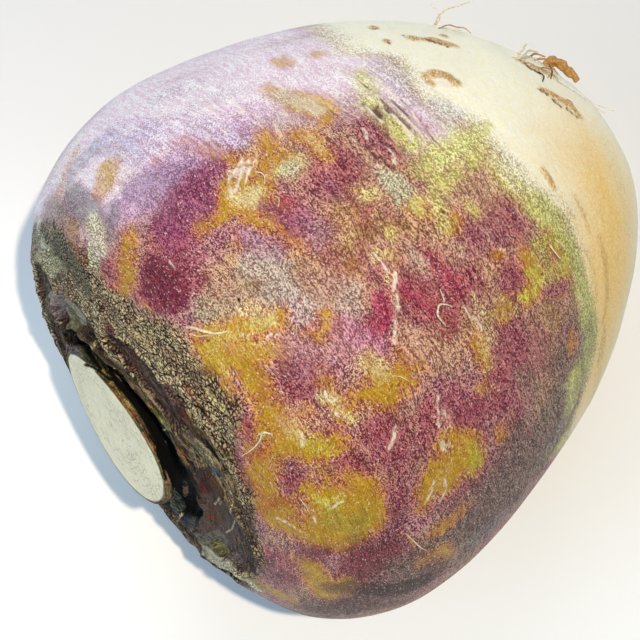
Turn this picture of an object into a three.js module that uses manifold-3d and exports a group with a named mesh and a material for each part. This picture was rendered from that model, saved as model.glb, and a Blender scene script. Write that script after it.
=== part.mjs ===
// A rutabaga (swede): one swollen root, lying on its side with its neck cut off and its taproot trimmed.
// Millimetres, +Z up. +X runs along the root, from the cut neck to the taproot. The origin is under the
// middle of the body, on the surface that the root lies on.
import * as THREE from 'three';
import { ParametricGeometry } from 'three/addons/geometries/ParametricGeometry.js';
import { mergeVertices } from 'three/addons/utils/BufferGeometryUtils.js';
import Module from 'manifold-3d';

const wasm = await Module();
wasm.setup();

const degrees = THREE.MathUtils.degToRad;
const TURN = 2 * Math.PI;

// ---- Driving dimensions -------------------------------------------------------------------------
// The root is described in its own frame first: x along its growing axis from the widest section, with
// the neck at negative x, and longitude turning from the upper side (+Z) towards +Y.

// Rings of the outline, from the middle of the cut neck to the tip of the trimmed taproot:
// x along the growing axis, radius, and how far the ring's centre is pushed towards the fuller flank.
const RINGS = [
  [-41.6, 0, 5.8], // middle of the cut face
  [-41.7, 9, 5.8],
  [-41.5, 17.2, 5.8],
  [-40.8, 18.8, 5.8], // rounded rim of the cut
  [-38, 19.2, 5.8],
  [-34.6, 19.6, 5.8], // foot of the neck, down in the crevice around it
  [-33.4, 20.9, 5.6],
  [-34.8, 22.3, 5.2],
  [-37, 23.3, 4.7],
  [-37.8, 25, 4.2], // lip of the old leaf bases
  [-37.4, 28.6, 3.1],
  [-37.2, 33.4, 1.8],
  [-35.7, 39.8, 0.8],
  [-32.8, 46.8, 1.2],
  [-28.5, 52.8, 1.1],
  [-21.6, 57.6, 0.8],
  [-12, 61.1, 0.8],
  [0, 62.1, 1.3], // widest section
  [16, 60, 1.5],
  [32, 55.8, 1.8],
  [48, 49.4, 1.8],
  [64, 39.4, 1.6],
  [76, 28.3, 0],
  [83, 18, -0.5],
  [85.8, 9.4, -0.2], // shoulder of the trimmed taproot
  [86.7, 5.4, 0],
  [88.6, 4.7, 0],
  [89.2, 2.8, 0],
  [89.2, 0, 0],
];
const FULLER_FLANK = degrees(77.6); // longitude of the fuller flank

// The knife left the neck's face leaning and slightly twisted.
const FACE_REACH = 26; // rings inside this radius follow the face's lean
const FACE_BLEND = 4;
const FACE_LEAN = 0.05; // rise per mm towards the upper side
const FACE_DROP = 0.055; // fall per mm towards the leaner flank
const FACE_TWIST = 0.0029; // change of that fall per mm towards the upper side
const FACE_AXIS = degrees(-12.4); // longitude that the face leans towards

// The crevice around the neck is deep and wide on one side, and nearly closed on the other.
const CREVICE_SIDE = degrees(-70);
const CREVICE_SHALLOW = 0.35; // depth on the closed side, as a share of the deepest
const FLOOR_RING = 6; // which ring is the crevice's floor
const LIP_X = -37.8;
const LIP_RADIUS = 25;
const LIP_SPREAD = 1.2; // how far the lip moves out on the open side, and in on the closed side
const LIP_FADE = 10;

// The underside is a little fuller than a turned shape, towards the taproot.
const BELLY_FULLNESS = 0.035; // share of the radius
const BELLY_X = 36;
const BELLY_LENGTH = 26;
const BELLY_SPREAD = degrees(38);

// A broken side root that still lies along the skin near the tip.
const STUB = {
  x: 73, longitude: degrees(25), lean: degrees(122), length: 9, inset: 3, radius: 1.1, taper: 0.8, sides: 10,
};

const ROOT_DOWN = degrees(10); // the taproot end lies lower than the neck
const CENTRE = new THREE.Vector3(-21.5, -1.2, 61.5); // where the widest section's centre stands
const SLAB = 200; // size of the block that trims the flat spot

const LONGITUDES = 72;
const ROWS_PER_RING = 2;

// ---- The body -----------------------------------------------------------------------------------
const meridian = new THREE.CatmullRomCurve3(
  RINGS.map(([x, radius, lean]) => new THREE.Vector3(x, radius, lean)), false, 'catmullrom', 0.5);
const smoothstep = THREE.MathUtils.smoothstep;
const bell = (distance, width) => Math.exp(-0.5 * (distance / width) ** 2);
const turnFrom = (longitude, middle) => {
  const turn = longitude - middle;
  return Math.atan2(Math.sin(turn), Math.cos(turn));
};

// The x and radius of a point with the crevice and its lip worked in: only the crown side changes.
function crown(x, radius, longitude, pastFloor) {
  if (x > 0) return [x, radius];
  const open = 0.5 + 0.5 * Math.cos(longitude - CREVICE_SIDE);
  const depth = CREVICE_SHALLOW + (1 - CREVICE_SHALLOW) * open;
  if (radius < LIP_RADIUS && x > LIP_X) x = LIP_X + (x - LIP_X) * depth;
  if (pastFloor) radius += LIP_SPREAD * (2 * open - 1) * bell(radius - LIP_RADIUS, LIP_FADE);
  return [x, radius];
}

// A point of the skin: u goes once round the root, backwards so that faces point outwards, and v goes
// from the cut face to the taproot.
function skin(u, v, target) {
  const longitude = TURN * ((1 - u) % 1);
  const ring = meridian.getPoint(v);
  const pastFloor = v * (RINGS.length - 1) > FLOOR_RING;
  let [x, radius] = crown(ring.x, Math.max(ring.y, 0), longitude, pastFloor);
  const belly = bell(x - BELLY_X, BELLY_LENGTH) * bell(turnFrom(longitude, Math.PI), BELLY_SPREAD);
  radius *= 1 + BELLY_FULLNESS * belly;
  const y = radius * Math.sin(longitude) + ring.z * Math.sin(FULLER_FLANK);
  const z = radius * Math.cos(longitude) + ring.z * Math.cos(FULLER_FLANK);
  if (x < 0) {
    const across = -y * Math.cos(FACE_AXIS) + z * Math.sin(FACE_AXIS) + RINGS[0][2];
    const upward = y * Math.sin(FACE_AXIS) + z * Math.cos(FACE_AXIS);
    const hold = 1 - smoothstep(radius, FACE_REACH - FACE_BLEND, FACE_REACH);
    x += hold * (FACE_LEAN * upward - FACE_DROP * across + FACE_TWIST * across * upward);
  }
  target.set(x, y, z);
}

// ---- Solids -------------------------------------------------------------------------------------
// Merges the seams and poles of a closed geometry and turns it into a solid.
function solid(geometry) {
  const bare = geometry.clone();
  bare.deleteAttribute('normal');
  bare.deleteAttribute('uv');
  const merged = mergeVertices(bare);
  const index = merged.index.array;
  const corners = [];
  for (let i = 0; i < index.length; i += 3) {
    const [a, b, c] = index.slice(i, i + 3);
    if (a !== b && b !== c && c !== a) corners.push(a, b, c);
  }
  return new wasm.Manifold(new wasm.Mesh({
    numProp: 3,
    vertProperties: new Float32Array(merged.attributes.position.array),
    triVerts: new Uint32Array(corners),
  }));
}

// Turns a solid back into a geometry.
function shell(body) {
  const mesh = body.getMesh();
  const geometry = new THREE.BufferGeometry();
  geometry.setAttribute('position', new THREE.BufferAttribute(mesh.vertProperties, 3));
  geometry.setIndex(new THREE.BufferAttribute(mesh.triVerts, 1));
  geometry.computeVertexNormals();
  return geometry;
}

// The broken side root: a short tapered peg that starts inside the body and points to the taproot.
function brokenRoot() {
  const peg = new THREE.CylinderGeometry(STUB.radius * STUB.taper, STUB.radius, STUB.length, STUB.sides);
  peg.translate(0, STUB.length / 2 - STUB.inset, 0);
  peg.rotateX(Math.PI / 2);
  peg.rotateY(STUB.lean);
  const at = RINGS.findIndex(([x]) => x > STUB.x);
  const [before, after] = [RINGS[at - 1], RINGS[at]];
  const radius = THREE.MathUtils.mapLinear(STUB.x, before[0], after[0], before[1], after[1]);
  peg.translate(STUB.x, 0, radius);
  peg.rotateX(-STUB.longitude);
  return peg;
}

function rutabaga() {
  const skinGeometry = new ParametricGeometry(skin, LONGITUDES, ROWS_PER_RING * (RINGS.length - 1));
  const pieces = [skinGeometry, brokenRoot()].map((geometry) =>
    geometry.rotateY(ROOT_DOWN).translate(CENTRE.x, CENTRE.y, CENTRE.z));
  const slab = new THREE.BoxGeometry(SLAB, SLAB, SLAB).translate(0, 0, -SLAB / 2);
  const [body, stub] = pieces.map(solid);
  return shell(body.add(stub).subtract(solid(slab)));
}

const mesh = new THREE.Mesh(rutabaga(),
  new THREE.MeshStandardMaterial({ color: 0x7d3d4c, roughness: 0.55, metalness: 0 }));
mesh.name = 'rutabaga';

const part = new THREE.Group();
part.add(mesh);
export default part;
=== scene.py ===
# %% [markdown]
# # A rutabaga, grown as one piece
# A rutabaga is a swollen root. Its shape is almost a spinning top: a belly, a cut neck at one
# end, and a taproot at the other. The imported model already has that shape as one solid, so
# this lesson loads it first and measures it. Everything made below has to fit around it.

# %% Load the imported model
import bpy
import math
import numpy as np
from mathutils import Matrix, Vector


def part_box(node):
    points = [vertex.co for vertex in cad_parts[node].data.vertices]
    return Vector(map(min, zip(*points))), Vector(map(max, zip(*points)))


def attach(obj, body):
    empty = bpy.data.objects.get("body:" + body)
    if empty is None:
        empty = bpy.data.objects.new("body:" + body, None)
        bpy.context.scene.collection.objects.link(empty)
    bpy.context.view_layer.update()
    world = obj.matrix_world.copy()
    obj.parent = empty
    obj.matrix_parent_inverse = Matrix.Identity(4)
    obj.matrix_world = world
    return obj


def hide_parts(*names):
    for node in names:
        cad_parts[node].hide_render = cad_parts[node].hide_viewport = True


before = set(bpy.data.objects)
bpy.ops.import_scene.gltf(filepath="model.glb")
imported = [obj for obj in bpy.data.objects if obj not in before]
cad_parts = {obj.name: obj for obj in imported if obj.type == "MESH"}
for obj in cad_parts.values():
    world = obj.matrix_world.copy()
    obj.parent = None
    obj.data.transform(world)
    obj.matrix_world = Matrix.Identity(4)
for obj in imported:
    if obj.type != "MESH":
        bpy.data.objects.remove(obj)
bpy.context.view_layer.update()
low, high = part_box("rutabaga")
MM = 0.001
print("packed root, mm:", [round((b - a) / MM, 1) for a, b in zip(low, high)])

# %% [markdown]
# ## Camera
# The root lies on a table and is seen from almost straight above, so most of its belly and a
# sliver of its cut neck show. A camera's turn is easiest to write as three unit vectors: the
# way to its right, the way up in the picture, and the way back from the scene to the camera.
# All three come from two angles, so no corner of the turn has to be guessed.

# %% Place the camera
TILT = math.radians(10)            # the taproot end points this far below level
CENTRE = np.array([-21.5, -1.2, 61.5])      # middle of the widest ring, in the room, mm
ALONG = np.array([math.cos(TILT), 0, -math.sin(TILT)])
ACROSS = np.array([0, 1.0, 0])
ABOVE = np.array([math.sin(TILT), 0, math.cos(TILT)])

AZIMUTH = math.radians(-37.03)
ELEVATION = math.radians(78.08)
CAMERA_DISTANCE = 400
CAMERA_LENS = 104.6
SENSOR_WIDTH = 36
AIM = (7.07, 4.77)                 # the aim point, right of and above the middle, mm
right = np.array([math.cos(AZIMUTH), math.sin(AZIMUTH), 0])
back = np.array([math.sin(AZIMUTH) * math.cos(ELEVATION),
                 -math.cos(AZIMUTH) * math.cos(ELEVATION), math.sin(ELEVATION)])
upward = np.cross(back, right)


def turned(right, upward, back, place):
    """A matrix whose columns are the three directions and the place, which is in mm."""
    matrix = np.eye(4)
    matrix[:3] = np.column_stack([right, upward, back, np.asarray(place) * MM])
    return Matrix(matrix.tolist())


aim = CENTRE + AIM[0] * right + AIM[1] * upward
camera = bpy.data.objects.new("camera", bpy.data.cameras.new("camera"))
bpy.context.scene.collection.objects.link(camera)
camera.matrix_world = turned(right, upward, back, aim + CAMERA_DISTANCE * back)
camera.data.lens = CAMERA_LENS
camera.data.sensor_width = SENSOR_WIDTH
bpy.context.scene.camera = camera
print("camera stands at, mm:", np.round(aim + CAMERA_DISTANCE * back, 1))

# %% [markdown]
# ## The outline
# Half of the root's outline, drawn once and carried round its axis, gives the whole body. The
# outline is a list of rings from the middle of the cut neck to the tip of the taproot. A
# Catmull-Rom curve passes through every ring, so the numbers mean what they say. Each ring has
# its place along the axis, its radius, and how far it leans towards the fuller flank.

# %% Rings of the outline
RINGS = np.array([
    [-41.6, 0, 5.8], [-41.7, 9, 5.8], [-41.5, 17.2, 5.8], [-40.8, 18.8, 5.8],
    [-38, 19.2, 5.8], [-34.6, 19.6, 5.8], [-33.4, 20.9, 5.6], [-34.8, 22.3, 5.2],
    [-37, 23.3, 4.7], [-37.8, 25, 4.2], [-37.4, 28.6, 3.1], [-37.2, 33.4, 1.8],
    [-35.7, 39.8, 0.8], [-32.8, 46.8, 1.2], [-28.5, 52.8, 1.1], [-21.6, 57.6, 0.8],
    [-12, 61.1, 0.8], [0, 62.1, 1.3], [16, 60, 1.5], [32, 55.8, 1.8], [48, 49.4, 1.8],
    [64, 39.4, 1.6], [76, 28.3, 0], [83, 18, -0.5], [85.8, 9.4, -0.2], [86.7, 5.4, 0],
    [88.6, 4.7, 0], [89.2, 2.8, 0], [89.2, 0, 0]])
WIDEST = 17                        # the ring that arc length is measured from
CREVICE_FLOOR = 6                  # the ring at the bottom of the gap round the neck


def spline(knots, t):
    """Catmull-Rom curve through knots at parameters t, one unit from knot to knot: a cubic
    whose slope at a knot is half the step from the knot before it to the knot after it."""
    padded = np.vstack([2 * knots[0] - knots[1], knots, 2 * knots[-1] - knots[-2]])
    knot = np.minimum(t.astype(int), len(knots) - 2)
    u = (t - knot)[:, None]
    before, here, there, after = (padded[knot + k] for k in range(4))
    leave, arrive = (there - before) / 2, (after - here) / 2
    return ((2 * here - 2 * there + leave + arrive) * u ** 3
            + (3 * there - 3 * here - 2 * leave - arrive) * u ** 2 + leave * u + here)


OUTLINE_STEPS = 6000
fine = np.linspace(0, len(RINGS) - 1, OUTLINE_STEPS)
curve = spline(RINGS, fine)
steps = np.hypot(np.diff(curve[:, 0]), np.diff(np.maximum(curve[:, 1], 0)))
arc = np.concatenate([[0], np.cumsum(steps)])
arc -= np.interp(WIDEST, fine, arc)
print("outline, mm: from", round(arc[0], 1), "at the neck to", round(arc[-1], 1), "at the tip")

# %% [markdown]
# ## The skin as a function of two parameters
# Every point of the skin is named by two numbers: how far it is along the outline, and its
# longitude round the axis. Carried straight round, the outline would make a lathe-turned toy,
# so the function also tips and twists the cut face, makes the gap round the neck shallower
# on one side, and fills out one side of the belly.

# %% The skin's surface
FULLER_FLANK = math.radians(77.6)
FACE_AXIS = math.radians(-12.4)
CREVICE_SIDE = math.radians(-70)
CREVICE_PLACE = -37.8              # where the gap's floor lies on the axis, mm
NECK_EDGE = 25                     # radius of the gap's outer wall, mm
NECK_LEAN = 5.8                    # how far the cut neck stands off the axis, mm


def bell(distance, width):
    """A bell curve: 1 in the middle, 0.61 one width away, almost 0 three widths away."""
    return np.exp(-0.5 * (distance / width) ** 2)


def smooth(value, start, end):
    """0 before start, 1 after end, and a smooth S between them."""
    part = np.clip((value - start) / (end - start), 0, 1)
    return part * part * (3 - 2 * part)


def turn_from(longitude, other):
    """The shorter way round from one longitude to another, as a signed angle."""
    return np.arctan2(np.sin(longitude - other), np.cos(longitude - other))


def skin(t, longitude):
    """The smooth root: a ring's point is its place along the axis and a circle round it,
    leaning to the fuller flank. Then the gap round the neck is made shallower on one side,
    the crown thicker there, and one flank fuller, and the cut face is tipped and twisted."""
    ring = spline(RINGS, t)
    x, radius, lean = (ring[:, k, None] + 0 * longitude for k in range(3))
    radius = np.maximum(radius, 0)
    opening = 0.5 + 0.5 * np.cos(longitude - CREVICE_SIDE)
    gap = (x <= 0) & (radius < NECK_EDGE) & (x > CREVICE_PLACE)
    past = (t[:, None] > CREVICE_FLOOR) & (x < 0)
    x = np.where(gap, CREVICE_PLACE + (x - CREVICE_PLACE) * (0.35 + 0.65 * opening), x)
    thicker = 1.2 * (2 * opening - 1) * bell(radius - NECK_EDGE, 10)
    radius = np.where(past, radius + thicker, radius)
    flank = bell(turn_from(longitude, math.pi), math.radians(38))
    radius = radius * (1 + 0.035 * bell(x - 36, 26) * flank)
    y = radius * np.sin(longitude) + lean * math.sin(FULLER_FLANK)
    z = radius * np.cos(longitude) + lean * math.cos(FULLER_FLANK)
    sideways = -y * math.cos(FACE_AXIS) + z * math.sin(FACE_AXIS) + NECK_LEAN
    toward = y * math.sin(FACE_AXIS) + z * math.cos(FACE_AXIS)
    hold = (1 - smooth(radius, NECK_EDGE - 3, NECK_EDGE + 1)) * (x < 0)
    x = x + hold * (0.05 * toward - 0.055 * sideways + 0.0029 * sideways * toward)
    return np.stack([x, y, z], -1)


def spot(along, longitude):
    """The point of the skin at a distance along the outline (mm) and a longitude (deg)."""
    t = np.interp(along, arc, fine)
    grid = skin(np.atleast_1d(t), np.radians(np.atleast_1d(longitude)))
    return grid[np.arange(len(grid)), np.arange(len(grid))]

# %% [markdown]
# ## A fine, even grid
# The two parameters are sampled on a grid. Detail isn't spread evenly on a root: the crown has
# gaps and torn leaf bases a millimetre wide, and the belly is smooth. So the rows are closer
# together near the crown and at the row of side-root scars.

# %% Rows and longitudes
LONGITUDES = 364
FINER = 0.3                        # the share by which the side facing up is finer
# each: along the outline (mm), how far apart the rows are there (mm)
SPACING = np.array([[-95, 1.1], [-80, 0.7], [-77, 0.34], [-56, 0.4], [-48, 0.62], [-36, 0.75],
                    [-28, 1.08], [24, 1.08], [34, 0.88], [92, 0.88], [104, 1.15], [118, 0.75]])
density = 1 / np.interp(arc, SPACING[:, 0], SPACING[:, 1])
count = np.concatenate([[0], np.cumsum(density[1:] * np.diff(arc))])
rows = np.interp(np.linspace(0, count[-1], int(count[-1]) + 1)[1:-1], count, fine)
turn = np.linspace(-math.pi, math.pi, LONGITUDES, endpoint=False)
longitude = turn - FINER * np.sin(turn - FACE_AXIS)
smooth_skin = skin(rows, longitude)
along = np.interp(rows, fine, arc)[:, None] + 0 * longitude
around = longitude[None, :] + 0 * rows[:, None]
print("grid:", len(rows), "rows of", LONGITUDES, "=", 2 * len(rows) * LONGITUDES, "triangles")


def outward(points):
    """Unit normals of a grid that closes in longitude: the cross product of its two ways."""
    round_way = np.roll(points, -1, 1) - np.roll(points, 1, 1)
    along_way = np.gradient(points, axis=0)
    normal = np.cross(along_way, round_way)
    return normal / np.maximum(np.linalg.norm(normal, axis=-1, keepdims=True), 1e-9)


normals = outward(smooth_skin)
middle = len(rows) // 2
facing = (normals[middle] * smooth_skin[middle]).sum(-1)
print("normals point out:", bool(facing.min() > 0))

# %% [markdown]
# ## Noise, and relief on the skin
# A grown surface swells and dips without a plan. Value noise gives that: a block of random
# numbers, one per corner of a lattice of cubes, is blended smoothly inside every cube. The
# block comes from a seeded generator, so the root is the same root each time.

# %% Noise for shapes
LATTICE = 32
lattice = np.random.default_rng(11).random((LATTICE, LATTICE, LATTICE))


def noise(points, size, shift=0.0):
    """Value noise from -1 to 1 on cubes `size` mm wide: each point's eight lattice numbers,
    weighted by how near the point is to each corner along a smooth S."""
    place = points / size + 13.7 * shift
    cell = np.floor(place).astype(int)
    part = place - cell
    part = part * part * (3 - 2 * part)
    total = np.zeros(points.shape[:-1])
    for corner in np.ndindex(2, 2, 2):
        weight = np.prod(np.where(np.array(corner), part, 1 - part), -1)
        x, y, z = np.moveaxis((cell + corner) % LATTICE, -1, 0)
        total += weight * lattice[x, y, z]
    return 2 * total - 1


swell = 0.45 * noise(smooth_skin, 24) + 0.2 * noise(smooth_skin, 9, 1)
swell *= smooth(along, -48, -30) * (1 - smooth(along, 100, 108))
print("swelling, mm:", np.round([swell.min(), swell.max()], 2))

# %% [markdown]
# ## Brush strokes on a curved surface
# Scrapes, blushes and corky patches have places of their own, so they are laid down like
# brush strokes. A stroke is a short path of knots: along the outline (mm), longitude (deg) and
# the brush's radius there (mm). What a vertex keeps isn't paint but how far inside the strokes
# it lies, in mm. A material can cut such a field anywhere and roughen the cut with noise, so
# an edge stays crisp however coarse the grid is.

# %% Strokes to fields
def reach(points, strokes, limit=8.0):
    """How far inside a set of strokes each point is, in mm, negative outside: the brush's
    radius at the nearest place on each segment less the distance to it, largest over all.
    It is cut off at `limit` mm either way."""
    best = np.full(points.shape[:-1], -limit)
    for stroke in strokes:
        knots = np.array(stroke, float)
        places = spot(knots[:, 0], knots[:, 1])
        for k in range(max(len(knots) - 1, 1)):
            last = min(k + 1, len(knots) - 1)
            step = places[last] - places[k]
            offset = points - places[k]
            share = np.clip(offset @ step / max(step @ step, 1e-9), 0, 1)
            radius = knots[k, 2] + share * (knots[last, 2] - knots[k, 2])
            distance = np.linalg.norm(offset - share[..., None] * step, axis=-1)
            best = np.maximum(best, radius - distance)
    return np.minimum(best, limit)

# %% [markdown]
# ## Scraped rind
# Where the root rubbed against stones, the rind came off and the flesh beneath dried to an
# ochre yellow. Each scrape is a group of strokes side by side, as nothing scrapes a single
# clean shape. Islands of rind that stayed on are a second list, which is taken away again:
# the field keeps the smaller of the two distances.

# %% Where the skin is scraped off
SCRAPES = [
    [(-29.1, 0, 2.1), (-22.8, -4, 2.2), (-17.1, -6, 2.2), (-15.4, -6, 1.7)],
    [(-29.6, -4, 3.2), (-24.6, -8, 3.3), (-18.9, -12, 1.9)],
    [(-31.6, -6, 2.6), (-31, -11, 2.3), (-31, -16, 2.1), (-31.1, -19, 1.9), (-31.4, -25, 2.6)],
    [(-26.6, -11, 3.1), (-26.1, -16, 2.9), (-26.8, -21, 2.9), (-26.4, -25, 2.9)],
    [(-32, -26, 2.9), (-28.6, -29, 3), (-24, -31, 2.5), (-19.9, -31, 2.3), (-18.5, -32, 1.6)],
    [(-37.8, -33, 2.4), (-35.6, -38, 3), (-31.6, -43, 3.9), (-26.1, -45, 6), (-20.7, -46, 5.4)],
    [(-29.7, -38, 2.5), (-26.3, -40, 4.4), (-21.3, -43, 5.3), (-20.5, -49, 4.5),
     (-25.1, -51, 4.4), (-28.9, -48, 3.6)],
    [(-40.4, -40, 2.3), (-38.5, -44, 2.9), (-34.7, -48, 3.1), (-30.5, -52, 2.4), (-26.1, -55, 1.9)],
    [(-35.3, -30, 2.1), (-34.1, -34, 1.8)], [(-20.9, -39, 2.1), (-20.5, -41, 2.4)],
    [(-5.8, -21, 1.1), (-6.3, -23, 2), (-5.5, -26, 2.9), (-2, -27, 2.5), (-1.7, -29, 1.8)],
    [(-5.3, -29, 2.5), (-9.5, -26, 2), (-12.6, -25, 1.1)], [(2.2, -27, 1.2), (0.8, -27, 1.2)],
    [(-0.1, -24, 0.9), (-0.6, -27, 1.4)],
    [(1.3, -43, 1.5), (4.4, -47, 2.7), (3.8, -51, 2.8), (0.5, -47, 2.9), (-3.6, -47, 3.1),
     (-6.7, -49, 3.4), (-9, -52, 2.1)],
    [(-3.3, -50, 3.4), (-1.2, -49, 3.2)], [(-1.2, -43, 1.5), (-0.9, -44, 1.3)],
    [(12.1, -50, 1.4), (11, -51, 1.1)], [(-7.9, -10, 1.1), (-8.8, -12, 1.3), (-9.3, -13, 1.5)],
    [(-12.4, -12, 0.9), (-11.5, -13, 0.9)],
    [(-15.8, -24, 1.3), (-15.2, -26, 1.5), (-15.4, -27, 1.3)],
    [(-14.8, -18, 0.9), (-15, -21, 0.9), (-15.6, -23, 0.9)], [(-21.1, -23, 1.1), (-23.8, -23, 1.1)],
    [(-34.3, -60, 2.2), (-33.8, -65, 2.3), (-33.1, -71, 2.8), (-32, -76, 2.6)],
    [(-30, -72, 2.7), (-27.9, -69, 2.3)],
    [(-47.6, -92, 2.3), (-45, -90, 3.2), (-41.3, -88, 2.8), (-38.7, -90, 1.8)],
    [(-2.3, 20, 1.9), (-5.3, 18, 3.1), (-7.9, 15, 3.5), (-8.1, 12, 2.3)],
    [(-3.6, 14, 2.6), (-6.5, 13, 3), (-10.2, 15, 2.1)],
    [(-0.6, 17, 1.2), (2.5, 17, 1.2), (5.1, 17, 1.2)],
    [(-7.2, 33, 0.7), (-6.3, 29, 1.2), (-4.6, 25, 1.5), (-3, 22, 1.2), (-2.5, 21, 1.2)],
    [(-20.3, 43, 2.1), (-22.2, 41, 1.7), (-24.6, 41, 1.1)],
    [(-16.5, 17, 1.2), (-16.9, 15, 1.6), (-14.1, 15, 1.6), (-11.3, 14, 1.4)],
    [(-9, 11, 1.4), (-7.7, 8, 1.1), (-5.3, 6, 0.9), (-4.6, 3, 0.9), (-3.6, 1, 0.9)],
    [(13.4, 33, 1), (14.4, 30, 1.7), (15.7, 26, 3), (17.4, 23, 2.9), (18.3, 21, 1.8), (16.4, 19, 1)],
    [(4.7, 23, 1.3), (4.1, 21, 1.5), (3.2, 19, 1.5)],
    [(10, 19, 1.3), (11.4, 17, 1.5), (11, 15, 1.2), (10.7, 13, 1)], [(-6.3, 9, 1.1), (-6, 8, 1.3)],
    [(-27.9, 27, 1.8), (-30, 25, 2), (-32.3, 23, 1.8), (-33.7, 21, 1.6), (-37.2, 21, 1.1)],
    [(-34.1, 45, 1.3), (-32.6, 44, 1.2)], [(-13.9, 33, 0.8), (-14.3, 32, 0.8)],
    [(21.3, 39, 1.3), (21.3, 40, 1.3)], [(28.6, 38, 1), (28.6, 37, 1)],
    [(42.5, -27, 1.9), (43.2, -31, 2.5), (43.9, -34, 1.7), (39.7, -31, 1.6)],
    [(35.3, -29, 1.8), (35.3, -27, 1.6), (34.6, -25, 1.3)], [(33.3, -32, 1.3), (30.3, -32, 1.3)],
    [(22.9, -30, 1.3), (25.3, -30, 1)], [(15.1, -32, 1.7), (14.7, -34, 1.2), (14.4, -36, 1)],
    [(12.1, -39, 1), (10.4, -39, 1)], [(37.7, -48, 1.2), (38, -50, 1.2)],
    [(1.3, -47, 1.8), (5.1, -49, 1.9)], [(8.7, -9, 0.9), (8.7, -10, 0.8)],
    [(19, -4, 1.2), (19.3, -6, 0.9)], [(1.3, -7, 0.9), (0.5, -7, 0.7)],
    [(25.6, -10, 0.7), (22.3, -12, 1)], [(29.3, -21, 1), (28.3, -21, 1)],
    [(-2.5, 10, 0.8), (-2.5, 9, 0.7)], [(-12.2, -67, 1.3), (-8.1, -67, 1.7), (-5.3, -72, 1.5)],
    [(-8.1, -60, 1.2), (-4.8, -60, 1.2), (-1.7, -60, 1.2)], [(-12.4, 10, 0.7), (-13.2, 9, 0.4)],
    [(-18, 98, 2), (-14, 102, 2.6), (-10, 104, 2)], [(2, 121, 1.5), (6, 125, 2.4), (9, 130, 2)],
    [(-28, 140, 3), (-24, 146, 3.4), (-20, 150, 2.4)],
    [(10, 178, 2.2), (14, -176, 3), (16, -170, 2)],
    [(-12, -166, 3), (-6, -160, 3.6), (-4, -154, 2.4)], [(24, -141, 1.6), (28, -136, 2)],
    [(-34, -130, 2.2), (-30, -124, 2.6)], [(18, 100, 1.2), (22, 103, 1.6)],
    [(-36, 110, 1.8), (-33, 114, 2.2)], [(-2, -126, 1.3), (1, -122, 1.6)],
    [(30, 156, 1.6), (33, 160, 1.2)], [(-16, 166, 1.2), (-15, 171, 1)],
    [(4, -170, 1.2), (7, -168, 1)],
]
ISLANDS = [
    [(-31.1, -18, 1.4), (-32.2, -21, 1.4), (-34.1, -23, 1.3)], [(-32.2, -26, 1.5)],
    [(-28.9, -32, 2.1), (-30.8, -35, 2), (-32.3, -38, 1.5)], [(-27, -34, 1.2), (-25.9, -35, 0.9)],
    [(-22.8, -36, 1.2), (-22.4, -38, 1.2)], [(-25.9, -37, 1.2)],
    [(-29.4, -10, 1.1), (-29.9, -14, 1.1)], [(-42.9, -51, 2.5), (-43.3, -47, 1.9)],
    [(-29.9, -40, 0.7), (-30.8, -43, 0.8)],
    [(-21.1, -19, 3.1), (-21.6, -16, 2.2), (-17.9, -19, 2.2)], [(-24.6, -18, 0.9)],
    [(-23.7, -34, 1.2)], [(-3.6, -57, 1.7), (-1.2, -57, 1.7)], [(-14.1, -13, 1.1), (-16, -13, 0.9)],
    [(-16.2, -11, 1.3)],
]
scraped = reach(smooth_skin, SCRAPES)
scraped = np.minimum(scraped, -reach(smooth_skin, ISLANDS))
print("scraped share of the grid:", round(float((scraped > 0).mean()), 3))
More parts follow.
